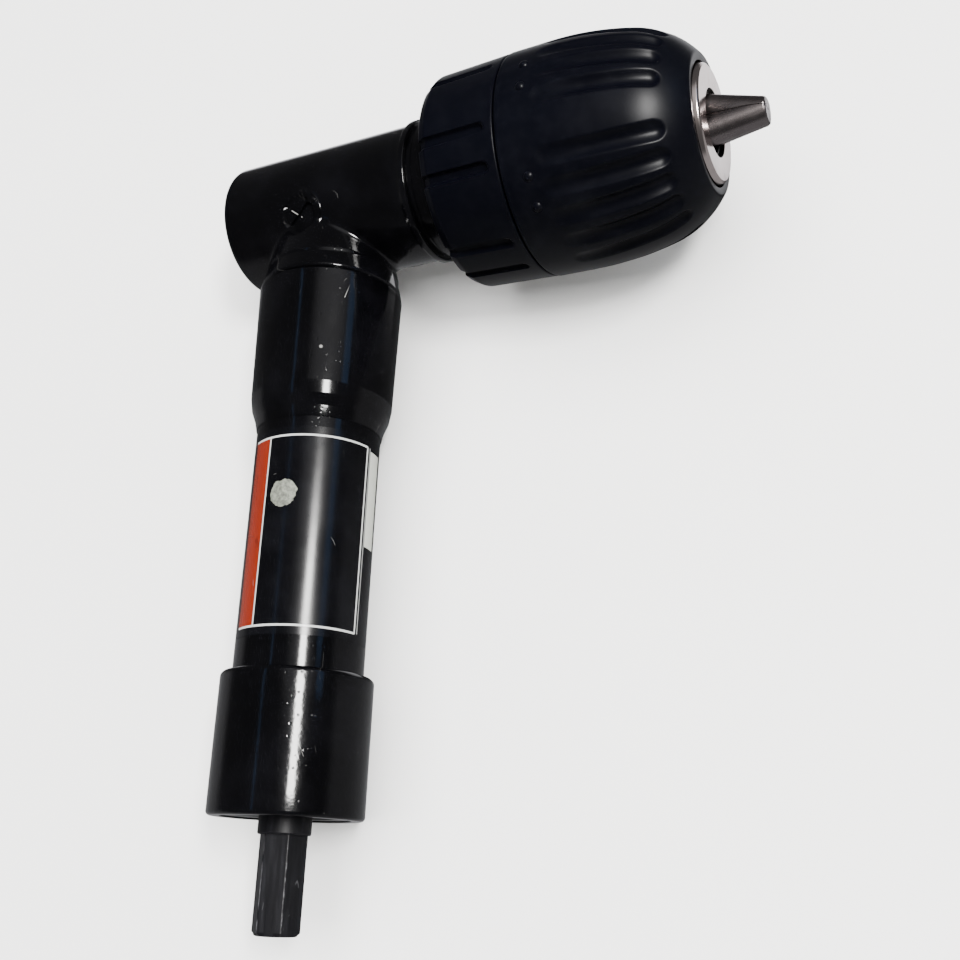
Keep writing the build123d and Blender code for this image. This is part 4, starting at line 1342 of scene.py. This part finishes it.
    def retainer(self) -> Piece:
        """Threaded ring between the head and the chuck."""
        front, radius, bore = self.retainer_front, self.retainer_radius, self.retainer_bore
        face, thread, rear = self.front, self.retainer_thread, self.front - 3.0
        outline = rounded(((rear, bore, 0), (front, bore, 0.3), (front, radius - 1.2, 0.35),
                           (front - 1.2, radius, 0.4), (face + 1.6, radius, 0.3),
                           (face + 1.1, radius - 0.5, 0.2), (face + 0.04, radius - 0.5, 0.1),
                           (face + 0.04, thread, 0), (rear, thread, 0)))
        return place(lathe("retainer_ring", outline), Line.CHUCK)


@dataclass
class Barrel:
    """Tube, blank label, lower collar and what closes the collar's end."""

    finishes: Finishes
    tube_radius: float = 12.4
    tube_wall: float = 1.6
    tube_top: float = 25.04
    tube_end: float = 117.6
    label_top: float = 53.7
    label_end: float = 94.2
    label_start_angle: float = -112.0
    label_end_angle: float = 40.0
    label_thickness: float = 0.1
    collar_radius: float = 14.5
    collar_top: float = 100.0
    collar_end: float = 126.0
    bearing_start: float = 118.6
    bearing_width: float = 6.0
    bearing_radius: float = 12.0
    outer_race_bore: float = 9.8
    clip_thickness: float = 1.0
    ear_hole: float = 0.45
    ear_radius: float = 1.15

    def build(self) -> None:
        """Builds every piece of the barrel."""
        paint = self.finishes.neck_paint
        stand_for(self.tube(), paint, "housing", "black_steel_paint", "barrel_tube")
        stand_for(self.collar(), self.finishes.collar_paint, "housing", "black_cast_paint", "lower_collar")
        stand_for(self.label(), self.finishes.label, "housing", "label_film", "blank_label")
        stand_for(self.outer_race(), self.finishes.race, "housing", "bearing_steel",
                  "lower_bearing_outer_race")
        stand_for(self.shield(), self.finishes.race, "housing", "bearing_steel", "lower_bearing_shield")
        stand_for(self.clip(), self.finishes.shaft_steel, "housing", "machined_steel",
                  "collar_retaining_clip")

    def tube(self) -> Piece:
        """Plain tube."""
        inner = self.tube_radius - self.tube_wall
        outline = np.array(((self.tube_top, inner), (self.tube_end, inner), (self.tube_end, self.tube_radius),
                            (self.tube_top, self.tube_radius)))
        return place(lathe("tube", divided(outline, 12.0)), Line.BARREL)

    def collar(self) -> Piece:
        """Heavy collar with a soft upper edge and the bearing's seat."""
        top, end, radius = self.collar_top, self.collar_end, self.collar_radius
        bore, seat = self.tube_radius + 0.02, self.bearing_radius + 0.02
        groove = self.bearing_start + self.bearing_width + 0.05
        outline = rounded(((top, bore, 0.1), (top, radius, 1.9), (end, radius, 0.8), (end, seat, 0.25),
                           (groove + 1.05, seat, 0), (groove + 1.05, seat + 0.6, 0), (groove, seat + 0.6, 0),
                           (groove, seat, 0), (self.tube_end, seat, 0), (self.tube_end, bore, 0)), 7)
        return place(lathe("collar", divided(outline, 8.0)), Line.BARREL)

    def label(self) -> Piece:
        """Film wrapped part of the way round the tube, with its real thickness."""
        columns, rows = 150, 60
        angles = np.radians(np.linspace(self.label_start_angle, self.label_end_angle, columns))
        stations = np.linspace(self.label_top, self.label_end, rows)
        low, high = self.tube_radius + 0.004, self.tube_radius + self.label_thickness
        angle, station = np.meshgrid(angles, stations, indexing="ij")
        sides = [about_axis(station, angle, radius).reshape(-1, 3) for radius in (high, low)]
        count = columns * rows
        faces = []
        for column in range(columns - 1):
            for row in range(rows - 1):
                a, b = column * rows + row, (column + 1) * rows + row
                faces.append((a, a + 1, b + 1, b))
                faces.append((count + a, count + b, count + b + 1, count + a + 1))
        edge = [column * rows for column in range(columns)]
        edge += [(columns - 1) * rows + row for row in range(1, rows)]
        edge += [column * rows + rows - 1 for column in range(columns - 2, -1, -1)]
        edge += [row for row in range(rows - 2, 0, -1)]
        for start, end in zip(edge, edge[1:] + edge[:1]):
            faces.append((start, end, count + end, count + start))
        return place(mesh_from("label", np.concatenate(sides), faces), Line.BARREL)

    def outer_race(self) -> Piece:
        """Outer race of the lower bearing."""
        start, end = self.bearing_start, self.bearing_start + self.bearing_width
        bore, radius = self.outer_race_bore, self.bearing_radius - 0.01
        outline = rounded(((start, bore, 0.2), (end, bore, 0.2), (end, radius, 0.4), (start, radius, 0.4)), 4)
        return place(lathe("lower_outer_race", outline, 144), Line.BARREL)

    def shield(self) -> Piece:
        """Pressed shield between the races."""
        end = self.bearing_start + self.bearing_width
        outline = rounded(((end - 0.6, 7.5, 0.05), (end - 0.3, 7.5, 0.05), (end - 0.3, 9.1, 0.1),
                           (end - 0.42, 9.77, 0.05), (end - 0.6, 9.77, 0.05), (end - 0.5, 9.0, 0.1)), 3)
        return place(lathe("lower_shield", outline, 144), Line.BARREL)

    def clip(self) -> Piece:
        """Internal retaining ring with a gap and two eared ends."""
        start = self.bearing_start + self.bearing_width + 0.08
        radius, end = self.bearing_radius, start + self.clip_thickness
        inner, outer = radius - 1.5, radius + 0.5
        outline = rounded(((start, inner, 0.12), (end, inner, 0.12), (end, outer, 0), (start, outer, 0)), 3)
        ring = lathe("retaining_clip", outline, 144)
        ring = cut(ring, block("gap", (start, 0, radius), (4, 3.2, 6)))
        hole, edge = self.ear_hole, self.ear_radius
        outline = rounded(((start, hole, 0), (end, hole, 0), (end, edge, 0.12), (start, edge, 0.12)), 3)
        for side in (-1, 1):
            ear = lathe("ear", outline, 32)
            ear.transform(Matrix.Translation((0, side * 2.5, radius - 2.0)))
            ring = cut(ring, ear, "UNION")
        return place(ring, Line.BARREL)


@dataclass
class DriveShaft:
    """Input shaft with its round neck and hexagonal shank, and the race that turns with it."""

    finishes: Finishes
    across_flats: float = 7.94
    turn_degrees: float = 13.0
    hex_start: float = 128.8
    end: float = 146.1
    neck_radius: float = 4.9
    chamfer: float = 0.7
    corner_wear: float = 0.06
    journals: Outline = ((4.7, 0), (4.7, 4.0), (13.8, 4.0), (13.8, 5.0), (116.6, 5.0), (116.6, 7.2),
                         (118.56, 7.2), (118.56, 5.99), (124.9, 5.99))
    neck_start: float = 124.9
    race_outline: Tuple[Triple, ...] = ((118.6, 6.01, 0.3), (124.6, 6.01, 0.3), (124.6, 7.46, 0.2),
                                        (118.6, 7.46, 0.2))

    def build(self) -> None:
        """Builds the shaft and its race."""
        stand_for(self.shaft(), self.finishes.oxide, "drive_shaft", "black_oxide_steel", "input_shaft")
        race = place(lathe("lower_inner_race", rounded(self.race_outline, 4), 120), Line.BARREL)
        stand_for(race, self.finishes.race, "drive_shaft", "bearing_steel", "lower_bearing_inner_race")

    def shaft(self) -> Piece:
        """One skin: turned length, round neck and chamfered hexagon with slightly broken corners."""
        apothem = self.across_flats / 2
        corner = apothem / math.cos(math.radians(30)) - self.corner_wear
        neck, hex_start, end, chamfer = self.neck_radius, self.hex_start, self.end, self.chamfer
        outline = [*self.journals, (self.neck_start, neck), (hex_start - 0.25, neck),
                   (hex_start, neck - 0.15), (hex_start + 0.02, corner), (hex_start + 6, corner),
                   (end - 8, corner), (end - chamfer, corner),
                   (end - 0.12, corner - 0.95 * chamfer), (end, corner - chamfer - 0.25), (end, 0)]
        segments = 288
        angles = full_turn(segments)
        side = np.mod(angles - math.radians(self.turn_degrees), math.pi / 3) - math.pi / 6
        hexagon = np.minimum(apothem / np.cos(side), corner)
        rings = [about_axis(station, angles, np.minimum(reach, hexagon if station > hex_start else np.inf))
                 for station, reach in outline]
        mesh = mesh_from("drive_shank", np.concatenate(rings), grid_faces(len(outline), segments))
        return place(mesh, Line.BARREL, 20.0)


@dataclass
class KeylessChuck:
    """Rear sleeve, fluted front sleeve, bright nose ring and three jaws."""

    finishes: Finishes
    jaw_first_angle: float = 63.0
    jaw_count: int = 3
    jaw_radius: float = 3.0
    jaw_slope: float = math.radians(15.5)
    jaw_rear: float = 54.0
    tip_station: float = 93.1
    tip_radius: float = 2.55
    tip_chamfer: float = 0.45
    toothed_length: float = 30.4
    plain_stops: Tuple[float, float] = (34.0, 46.0)
    sharp_angle: float = math.radians(38)
    edge_break: float = 0.1
    flat_face_corners: int = 9
    tooth_pitch: float = 1.411
    tooth_depth: float = 0.6
    tooth_start: float = 55.4
    tooth_end: float = 81.5
    ring_radius: float = 11.3
    ring_bore: float = 6.3
    ring_step: float = 82.44
    ring_seat: float = 9.42
    ring_rear: float = 77.4
    ring_front: float = 83.25
    columns: int = 560
    sleeve_edge: Outline = ((47.85, 19.5), (47.85, 21.65), (47.95, 21.88))
    sleeve_rear: Tuple[float, float] = (47.85, 22.0)
    sleeve_bend: Tuple[float, float] = (56.0, 22.1)
    sleeve_shoulder: Tuple[float, float] = (72.0, 20.2)
    sleeve_nose: Tuple[float, float] = (82.3, 13.3)
    sleeve_hollow: Outline = ((82.2, 11.75), (81.0, 11.6), (78.3, 11.6), (77.3, 13.1), (71.6, 16.7),
                              (66.3, 18.3), (66.2, 18.62), (58.6, 18.62), (56.6, 19.5))
    flutes: Grooves = Grooves(first_angle=32.0, pitch_angle=15.0, group_angle=90.0, grooves=5.0, start=57.2,
                              end=76.4, half_width=1.85, depth=1.05, power=2.0, softness=0.28,
                              least_radius=15.5, rise=8.0)
    slots: Grooves = Grooves(first_angle=10.75, pitch_angle=19.5, group_angle=60.0, grooves=2.0, start=25.0,
                             end=44.6, half_width=1.05, depth=1.0, power=8.0, softness=0.12,
                             least_radius=19.7)
    dot_radius: float = 1.15
    dot_station: float = 53.2
    dot_top: float = 22.6
    dots_first_angle: float = -20.5
    holder: Tuple[Triple, ...] = ((31.3, 17.5, 0), (31.3, 20.5, 0.5), (32.9, 21.4, 1.2), (47.55, 21.9, 0.25),
                                  (47.55, 19.5, 0), (34.3, 19.5, 0), (33.7, 18.9, 0), (33.7, 9.02, 0),
                                  (31.3, 9.02, 0.2))

    def build(self) -> None:
        """Builds every piece of the chuck."""
        plastic = self.finishes.plastic
        stand_for(self.rear_sleeve(), plastic, "chuck", "sleeve_plastic", "rear_sleeve")
        stand_for(self.front_sleeve(), plastic, "grip_sleeve", "sleeve_plastic", "front_sleeve")
        for number in range(2):
            stand_for(self.dots(number), plastic, "grip_sleeve", "sleeve_plastic")
        stand_for(self.nose_ring(), self.finishes.nickel, "chuck", "bright_nickel", "nose_ring")
        for number, body in enumerate(("first_jaw", "second_jaw", "third_jaw")):
            stand_for(self.jaw(number), self.finishes.jaw, body, "jaw_steel", f"jaw_{number + 1}")

    def arc_line(self, start: Tuple[float, float], heading: float, end: Tuple[float, float],
                 steps: int) -> Tuple[List[Tuple[float, float]], float]:
        """Arc that leaves a point in a heading and ends at another point.

        Args:
            start: First point.
            heading: Direction at the start, in radians from the axis.
            end: Last point.
            steps: Points after the first.

        Returns:
            The points after the first, and the heading at the end.
        """
        chord = np.subtract(end, start)
        bend = 2 * (math.atan2(chord[1], chord[0]) - heading)
        radius = float(np.linalg.norm(chord)) / (2 * math.sin(bend / 2))
        points = []
        for step in range(1, steps + 1):
            turn = bend * step / steps
            reach = 2 * radius * math.sin(turn / 2)
            bearing = heading + turn / 2
            points.append((start[0] + reach * math.cos(bearing), start[1] + reach * math.sin(bearing)))
        return points, heading + bend

    def front_sleeve(self) -> Piece:
        """Domed grip sleeve with groups of long flutes."""
        rear, bend, nose = self.sleeve_rear, self.sleeve_bend, self.sleeve_nose
        heading = math.atan2(bend[1] - rear[1], bend[0] - rear[0])
        dome, heading = self.arc_line(bend, heading, self.sleeve_shoulder, 44)
        front, _ = self.arc_line(self.sleeve_shoulder, heading, nose, 36)
        barrel = [(rear[0] + (bend[0] - rear[0]) * share, rear[1] + (bend[1] - rear[1]) * share)
                  for share in np.linspace(0.04, 1, 24)]
        lip = (nose[0] + 0.05, nose[1] - 0.35)
        outline = np.array([*self.sleeve_edge, *barrel, *dome, *front, lip, *self.sleeve_hollow])
        mesh = lathe("front_grip", outline, self.columns)
        mesh = run_tree(mesh, groove_tree(self.flutes), self.flutes, self.finishes.plastic)
        return place(mesh, Line.CHUCK, 50.0)

    def dots(self, number: int) -> Piece:
        """Small raised dots behind the ridges on both sides of a wide land.

        Args:
            number: Which of the two opposite lands, from zero.

        Returns:
            The placed dots.
        """
        build = bmesh.new()
        bmesh.ops.create_uvsphere(build, u_segments=28, v_segments=18, radius=self.dot_radius)
        bmesh.ops.translate(build, vec=Vector((self.dot_station, 0, self.dot_top - self.dot_radius)),
                            verts=build.verts)
        dot = bpy.data.meshes.new(f"grip_dots_{number + 1}")
        build.to_mesh(dot)
        build.free()
        copies = Copies(first_angle=self.dots_first_angle + 180 * number, pitch_angle=self.flutes.pitch_angle,
                        group_angle=60.0, groups=2.0, copies=2.0)
        return place(run_tree(dot, ring_tree(copies), copies, self.finishes.plastic), Line.CHUCK)

    def rear_sleeve(self) -> Piece:
        """Holding sleeve with pairs of slots from its rear edge."""
        outer = divided(rounded(self.holder, 5), 0.34)
        shown = (outer[:, 1] > 19.0) | (np.arange(len(outer)) % 12 == 0)
        mesh = lathe("rear_grip", outer[shown], self.columns)
        mesh = run_tree(mesh, groove_tree(self.slots), self.slots, self.finishes.plastic)
        return place(mesh, Line.CHUCK, 50.0)

    def nose_ring(self) -> Piece:
        """Bright ring round the mouth."""
        front, rear, radius, bore = self.ring_front, self.ring_rear, self.ring_radius, self.ring_bore
        step, seat = self.ring_step, self.ring_seat
        outline = rounded(((rear, seat, 0), (rear, radius, 0.3), (front - 1.05, radius, 0.5),
                           (front - 0.3, radius - 0.2, 0.45), (front, radius - 0.62, 0.12),
                           (front, bore, 0.2), (step, bore, 0), (step, seat, 0)), 7)
        return place(lathe("nose_ring_bright", outline, 240), Line.CHUCK)

    def jaw(self, number: int) -> Piece:
        """One jaw: a sloping bar cut to a wedge, with saw teeth on its outer side.

        Args:
            number: Which jaw, from zero.

        Returns:
            The placed jaw.
        """
        build = self.jaw_bar()
        self.cut_wedge(build)
        self.cut_teeth(build)
        bmesh.ops.recalc_face_normals(build, faces=build.faces)
        self.break_edges(build)
        mesh = bpy.data.meshes.new(f"grip_jaw_{number + 1}")
        build.to_mesh(mesh)
        build.free()
        angle = self.jaw_first_angle + number * 360 / self.jaw_count
        piece = place(turned_about_x(mesh, angle), Line.CHUCK, 20.0)
        for face in piece.data.polygons:
            face.use_smooth = len(face.vertices) < self.flat_face_corners
        return piece

    def jaw_bar(self) -> bmesh.types.BMesh:
        """Round sloping bar that a jaw is cut from, pointing up, with fine rings where its teeth are."""
        sine, cosine = math.sin(self.jaw_slope), math.cos(self.jaw_slope)
        height = self.tip_radius + (self.tip_station - self.jaw_rear) * math.tan(self.jaw_slope)
        start = np.array((self.jaw_rear, 0.0, height - self.jaw_radius / cosine))
        along, out, side = (np.array(axis) for axis in ((cosine, 0.0, -sine), (sine, 0.0, cosine), (0, 1, 0)))
        segments, stops = 72, np.append(np.linspace(0, self.toothed_length, 200), self.plain_stops)
        build = bmesh.new()
        ring = [self.jaw_radius * (math.cos(angle) * out + math.sin(angle) * side)
                for angle in full_turn(segments)]
        corners = [build.verts.new(start + along * stop + spoke) for stop in stops for spoke in ring]
        for face in grid_faces(len(stops), segments):
            build.faces.new([corners[index] for index in face])
        build.faces.new(corners[:segments])
        build.faces.new(corners[:-segments - 1:-1])
        return build

    def cut_wedge(self, build: bmesh.types.BMesh) -> None:
        """Cuts the bar to the wedge of a third of a turn, and flat at its tip.

        Args:
            build: The jaw that points up.
        """
        half = math.radians(180 / self.jaw_count)
        axis, wedge = (0, 0, 0.03), -math.sin(half)
        for point, normal in ((axis, (0, math.cos(half), wedge)), (axis, (0, -math.cos(half), wedge)),
                              ((self.tip_station, 0, 0), (1, 0, 0))):
            found = bmesh.ops.bisect_plane(build, geom=build.verts[:] + build.edges[:] + build.faces[:],
                                           dist=1e-5, plane_co=point, plane_no=normal, clear_outer=True)
            edges = [part for part in found["geom_cut"] if isinstance(part, bmesh.types.BMEdge)]
            bmesh.ops.contextual_create(build, geom=edges)

    def break_edges(self, build: bmesh.types.BMesh) -> None:
        """Chamfers the tip's round rim and breaks the sharp edges in front of the teeth.

        Args:
            build: The jaw that points up.
        """
        rim = [edge for edge in build.edges
               if min(vertex.co.x for vertex in edge.verts) > self.tip_station - 0.01
               and all(math.hypot(vertex.co.y, vertex.co.z) > self.tip_radius - 0.1 for vertex in edge.verts)]
        bmesh.ops.bevel(build, geom=rim, offset=self.tip_chamfer, segments=2, affect="EDGES", profile=0.5)
        sharp = [edge for edge in build.edges if len(edge.link_faces) == 2
                 and edge.calc_face_angle(0) > self.sharp_angle
                 and min(vertex.co.x for vertex in edge.verts) > self.tooth_end + 1]
        bmesh.ops.bevel(build, geom=sharp, offset=self.edge_break, segments=2, affect="EDGES", profile=0.5)

    def cut_teeth(self, build: bmesh.types.BMesh) -> None:
        """Lowers the outer side of a jaw to its saw teeth.

        Args:
            build: The jaw that points up.
        """
        pitch = self.tooth_pitch * math.cos(self.jaw_slope)
        count = int((self.tooth_end - self.tooth_start) / pitch)
        for vertex in build.verts:
            station, reach = vertex.co.x, math.hypot(vertex.co.y, vertex.co.z)
            share = (station - self.tooth_start) / pitch
            if not 0 <= share <= count:
                continue
            share -= math.floor(share)
            rise = share / 0.25 if share < 0.25 else (1 - share) / 0.75
            outer = self.tip_radius + (self.tip_station - station) * math.tan(self.jaw_slope)
            limit = outer - self.tooth_depth * rise
            if reach > limit:
                vertex.co.y *= limit / reach
                vertex.co.z *= limit / reach


# The studio


@dataclass(frozen=True)
class Lamp:
    """Soft rectangular lamp that faces the object, with its width along the barrel.

    The bearing is in degrees from +X towards +Y and the height in degrees above the floor. The
    distance and the size are in metres and the power in watts. Glossy surfaces show the lamp
    itself only if it is mirrored.
    """

    name: str
    bearing: float
    height: float
    distance: float
    size: Tuple[float, float]
    power: float
    colour: Colour
    mirrored: bool = True

    def hang(self) -> None:
        """Puts the lamp into the scene."""
        data = bpy.data.lights.new(self.name, "AREA")
        data.shape = "RECTANGLE"
        data.size, data.size_y = self.size
        data.energy = self.power
        data.color = self.colour
        lamp = linked(self.name, data)
        bearing, height = math.radians(self.bearing), math.radians(self.height)
        flat = math.cos(height)
        away = Vector((flat * math.cos(bearing), flat * math.sin(bearing), math.sin(height)))
        barrel = DRAWING.direction((0, 1, 0))
        wide = (barrel - away * barrel.dot(away)).normalized()
        aim = Matrix((wide, away.cross(wide), away)).transposed().to_4x4()
        lamp.matrix_world = Matrix.Translation(away * self.distance) @ aim
        lamp.visible_glossy = self.mirrored


@dataclass
class Studio:
    """Floor, surroundings, a wide soft lamp, a bright strip, two cool windows and the camera."""

    camera_place: Triple = (133.395, -134.524, 185.589)
    camera_aim: Triple = (37.116, -64.787, 0.0)
    camera_roll: float = -56.208
    focal_length: float = 44.515
    sensor: float = 36.0
    floor_radius: float = 1.5
    wall_radius: float = 2.3
    wall_height: float = 2.4
    air_colour: Colour = (0.97, 0.97, 1.0)
    base_strength: float = 0.09
    glow_heading: Triple = (0.43, 0.42, 0.80)
    glow_strength: float = 0.8
    low_strength: float = 0.28
    pale_strength: float = 1.65
    lamps: Tuple[Lamp, ...] = (
        Lamp("overhead", bearing=100.0, height=80.0, distance=1.8, size=(2.2, 2.2), power=125.0,
             colour=(1.0, 0.99, 0.98), mirrored=False),
        Lamp("strip", bearing=9.1, height=60.0, distance=1.2, size=(0.38, 0.20), power=26.0,
             colour=(1.0, 0.99, 0.97)),
        Lamp("window", bearing=26.0, height=29.0, distance=1.5, size=(0.80, 0.26), power=0.6,
             colour=(0.24, 0.50, 1.0)),
        Lamp("far_window", bearing=153.0, height=64.0, distance=1.4, size=(1.0, 0.06), power=0.18,
             colour=(0.24, 0.50, 1.0)),
    )

    def build(self) -> None:
        """Builds the whole studio."""
        self.floor()
        self.world()
        for lamp in self.lamps:
            lamp.hang()
        self.camera()

    def floor(self) -> None:
        """Pale round floor under the object, which curves up into a wall all round."""
        bend = self.wall_radius - self.floor_radius
        turns = np.linspace(0, np.pi / 2, 17)
        profile = [(0.02, 0.0), (0.4, 0.0)]
        profile += [(self.floor_radius + bend * math.sin(turn), bend * (1 - math.cos(turn)))
                    for turn in turns]
        profile.append((self.wall_radius, self.wall_height))
        segments = 96
        points = [(reach * math.cos(angle), reach * math.sin(angle), height)
                  for reach, height in profile for angle in full_turn(segments)]
        faces = [tuple(range(segments))] + [face[::-1] for face in grid_faces(len(profile), segments)]
        mesh = bpy.data.meshes.new("floor")
        mesh.from_pydata(points, [], faces)
        mesh.materials.append(PaleFloor().material())
        mesh.shade_smooth()
        floor = linked("floor", mesh)
        floor.visible_glossy = False

    def world(self) -> None:
        """Dim surroundings: a glow beside the strip, grey below the horizon and pale beyond the chuck."""
        world = bpy.data.worlds.new("studio")
        world.use_nodes = True
        maker = NodeMaker(world.node_tree)
        side, beyond, height = maker.parts(maker.node("ShaderNodeTexCoord").outputs["Generated"])
        heading = self.glow_heading
        toward = side * heading[0] + beyond * heading[1] + height * heading[2]
        glow = toward.above(0.86, 1.0) * self.glow_strength
        low = height.below(-0.1, 0.2) * beyond.below(0.15, 0.40) * self.low_strength
        pale = height.below(-0.6, -0.35) * height.above(-0.80, -0.775) * beyond.above(0.40, 0.60)
        strength = glow + (low + pale * self.pale_strength) + self.base_strength
        background = maker.tree.nodes["Background"]
        background.inputs["Color"].default_value = (*self.air_colour, 1.0)
        maker.link(strength.socket, background.inputs["Strength"])
        bpy.context.scene.world = world

    def camera(self) -> None:
        """Camera that stood where the photograph was taken."""
        data = bpy.data.cameras.new("camera")
        data.sensor_width = self.sensor
        data.lens = self.focal_length
        data.clip_start = 0.01
        eye, aim = DRAWING.point(self.camera_place), DRAWING.point(self.camera_aim)
        back = (eye - aim).normalized()
        side = DRAWING.direction((0, 0, 1)).cross(back).normalized()
        upright = Matrix((side, back.cross(side), back)).transposed()
        turn = upright @ Matrix.Rotation(math.radians(self.camera_roll), 3, "Z")
        camera = linked("camera", data)
        camera.matrix_world = Matrix.Translation(eye) @ turn.to_4x4()
        bpy.context.scene.camera = camera


def dress_nodes(finishes: Finishes) -> None:
    """Gives each node that keeps its own mesh the material of its slot.

    Args:
        finishes: The object's materials.
    """
    slots = {part["node"]: part["material_slot"] for part in frame["record"]["subparts"]}
    by_slot = finishes.by_slot()
    for name, node in frame["nodes"].items():
        node.data.materials.clear()
        node.data.materials.append(by_slot[slots[name]])


def main() -> None:
    """Builds the attachment's looks and the studio."""
    logging.basicConfig(level=logging.INFO, format="%(message)s")
    finishes = Finishes()
    dress_nodes(finishes)
    for part in (AngleHead(finishes), Barrel(finishes), DriveShaft(finishes), KeylessChuck(finishes)):
        part.build()
        LOG.info("built %s", type(part).__name__)
    Studio().build()


if __name__ == "__main__":
    main()
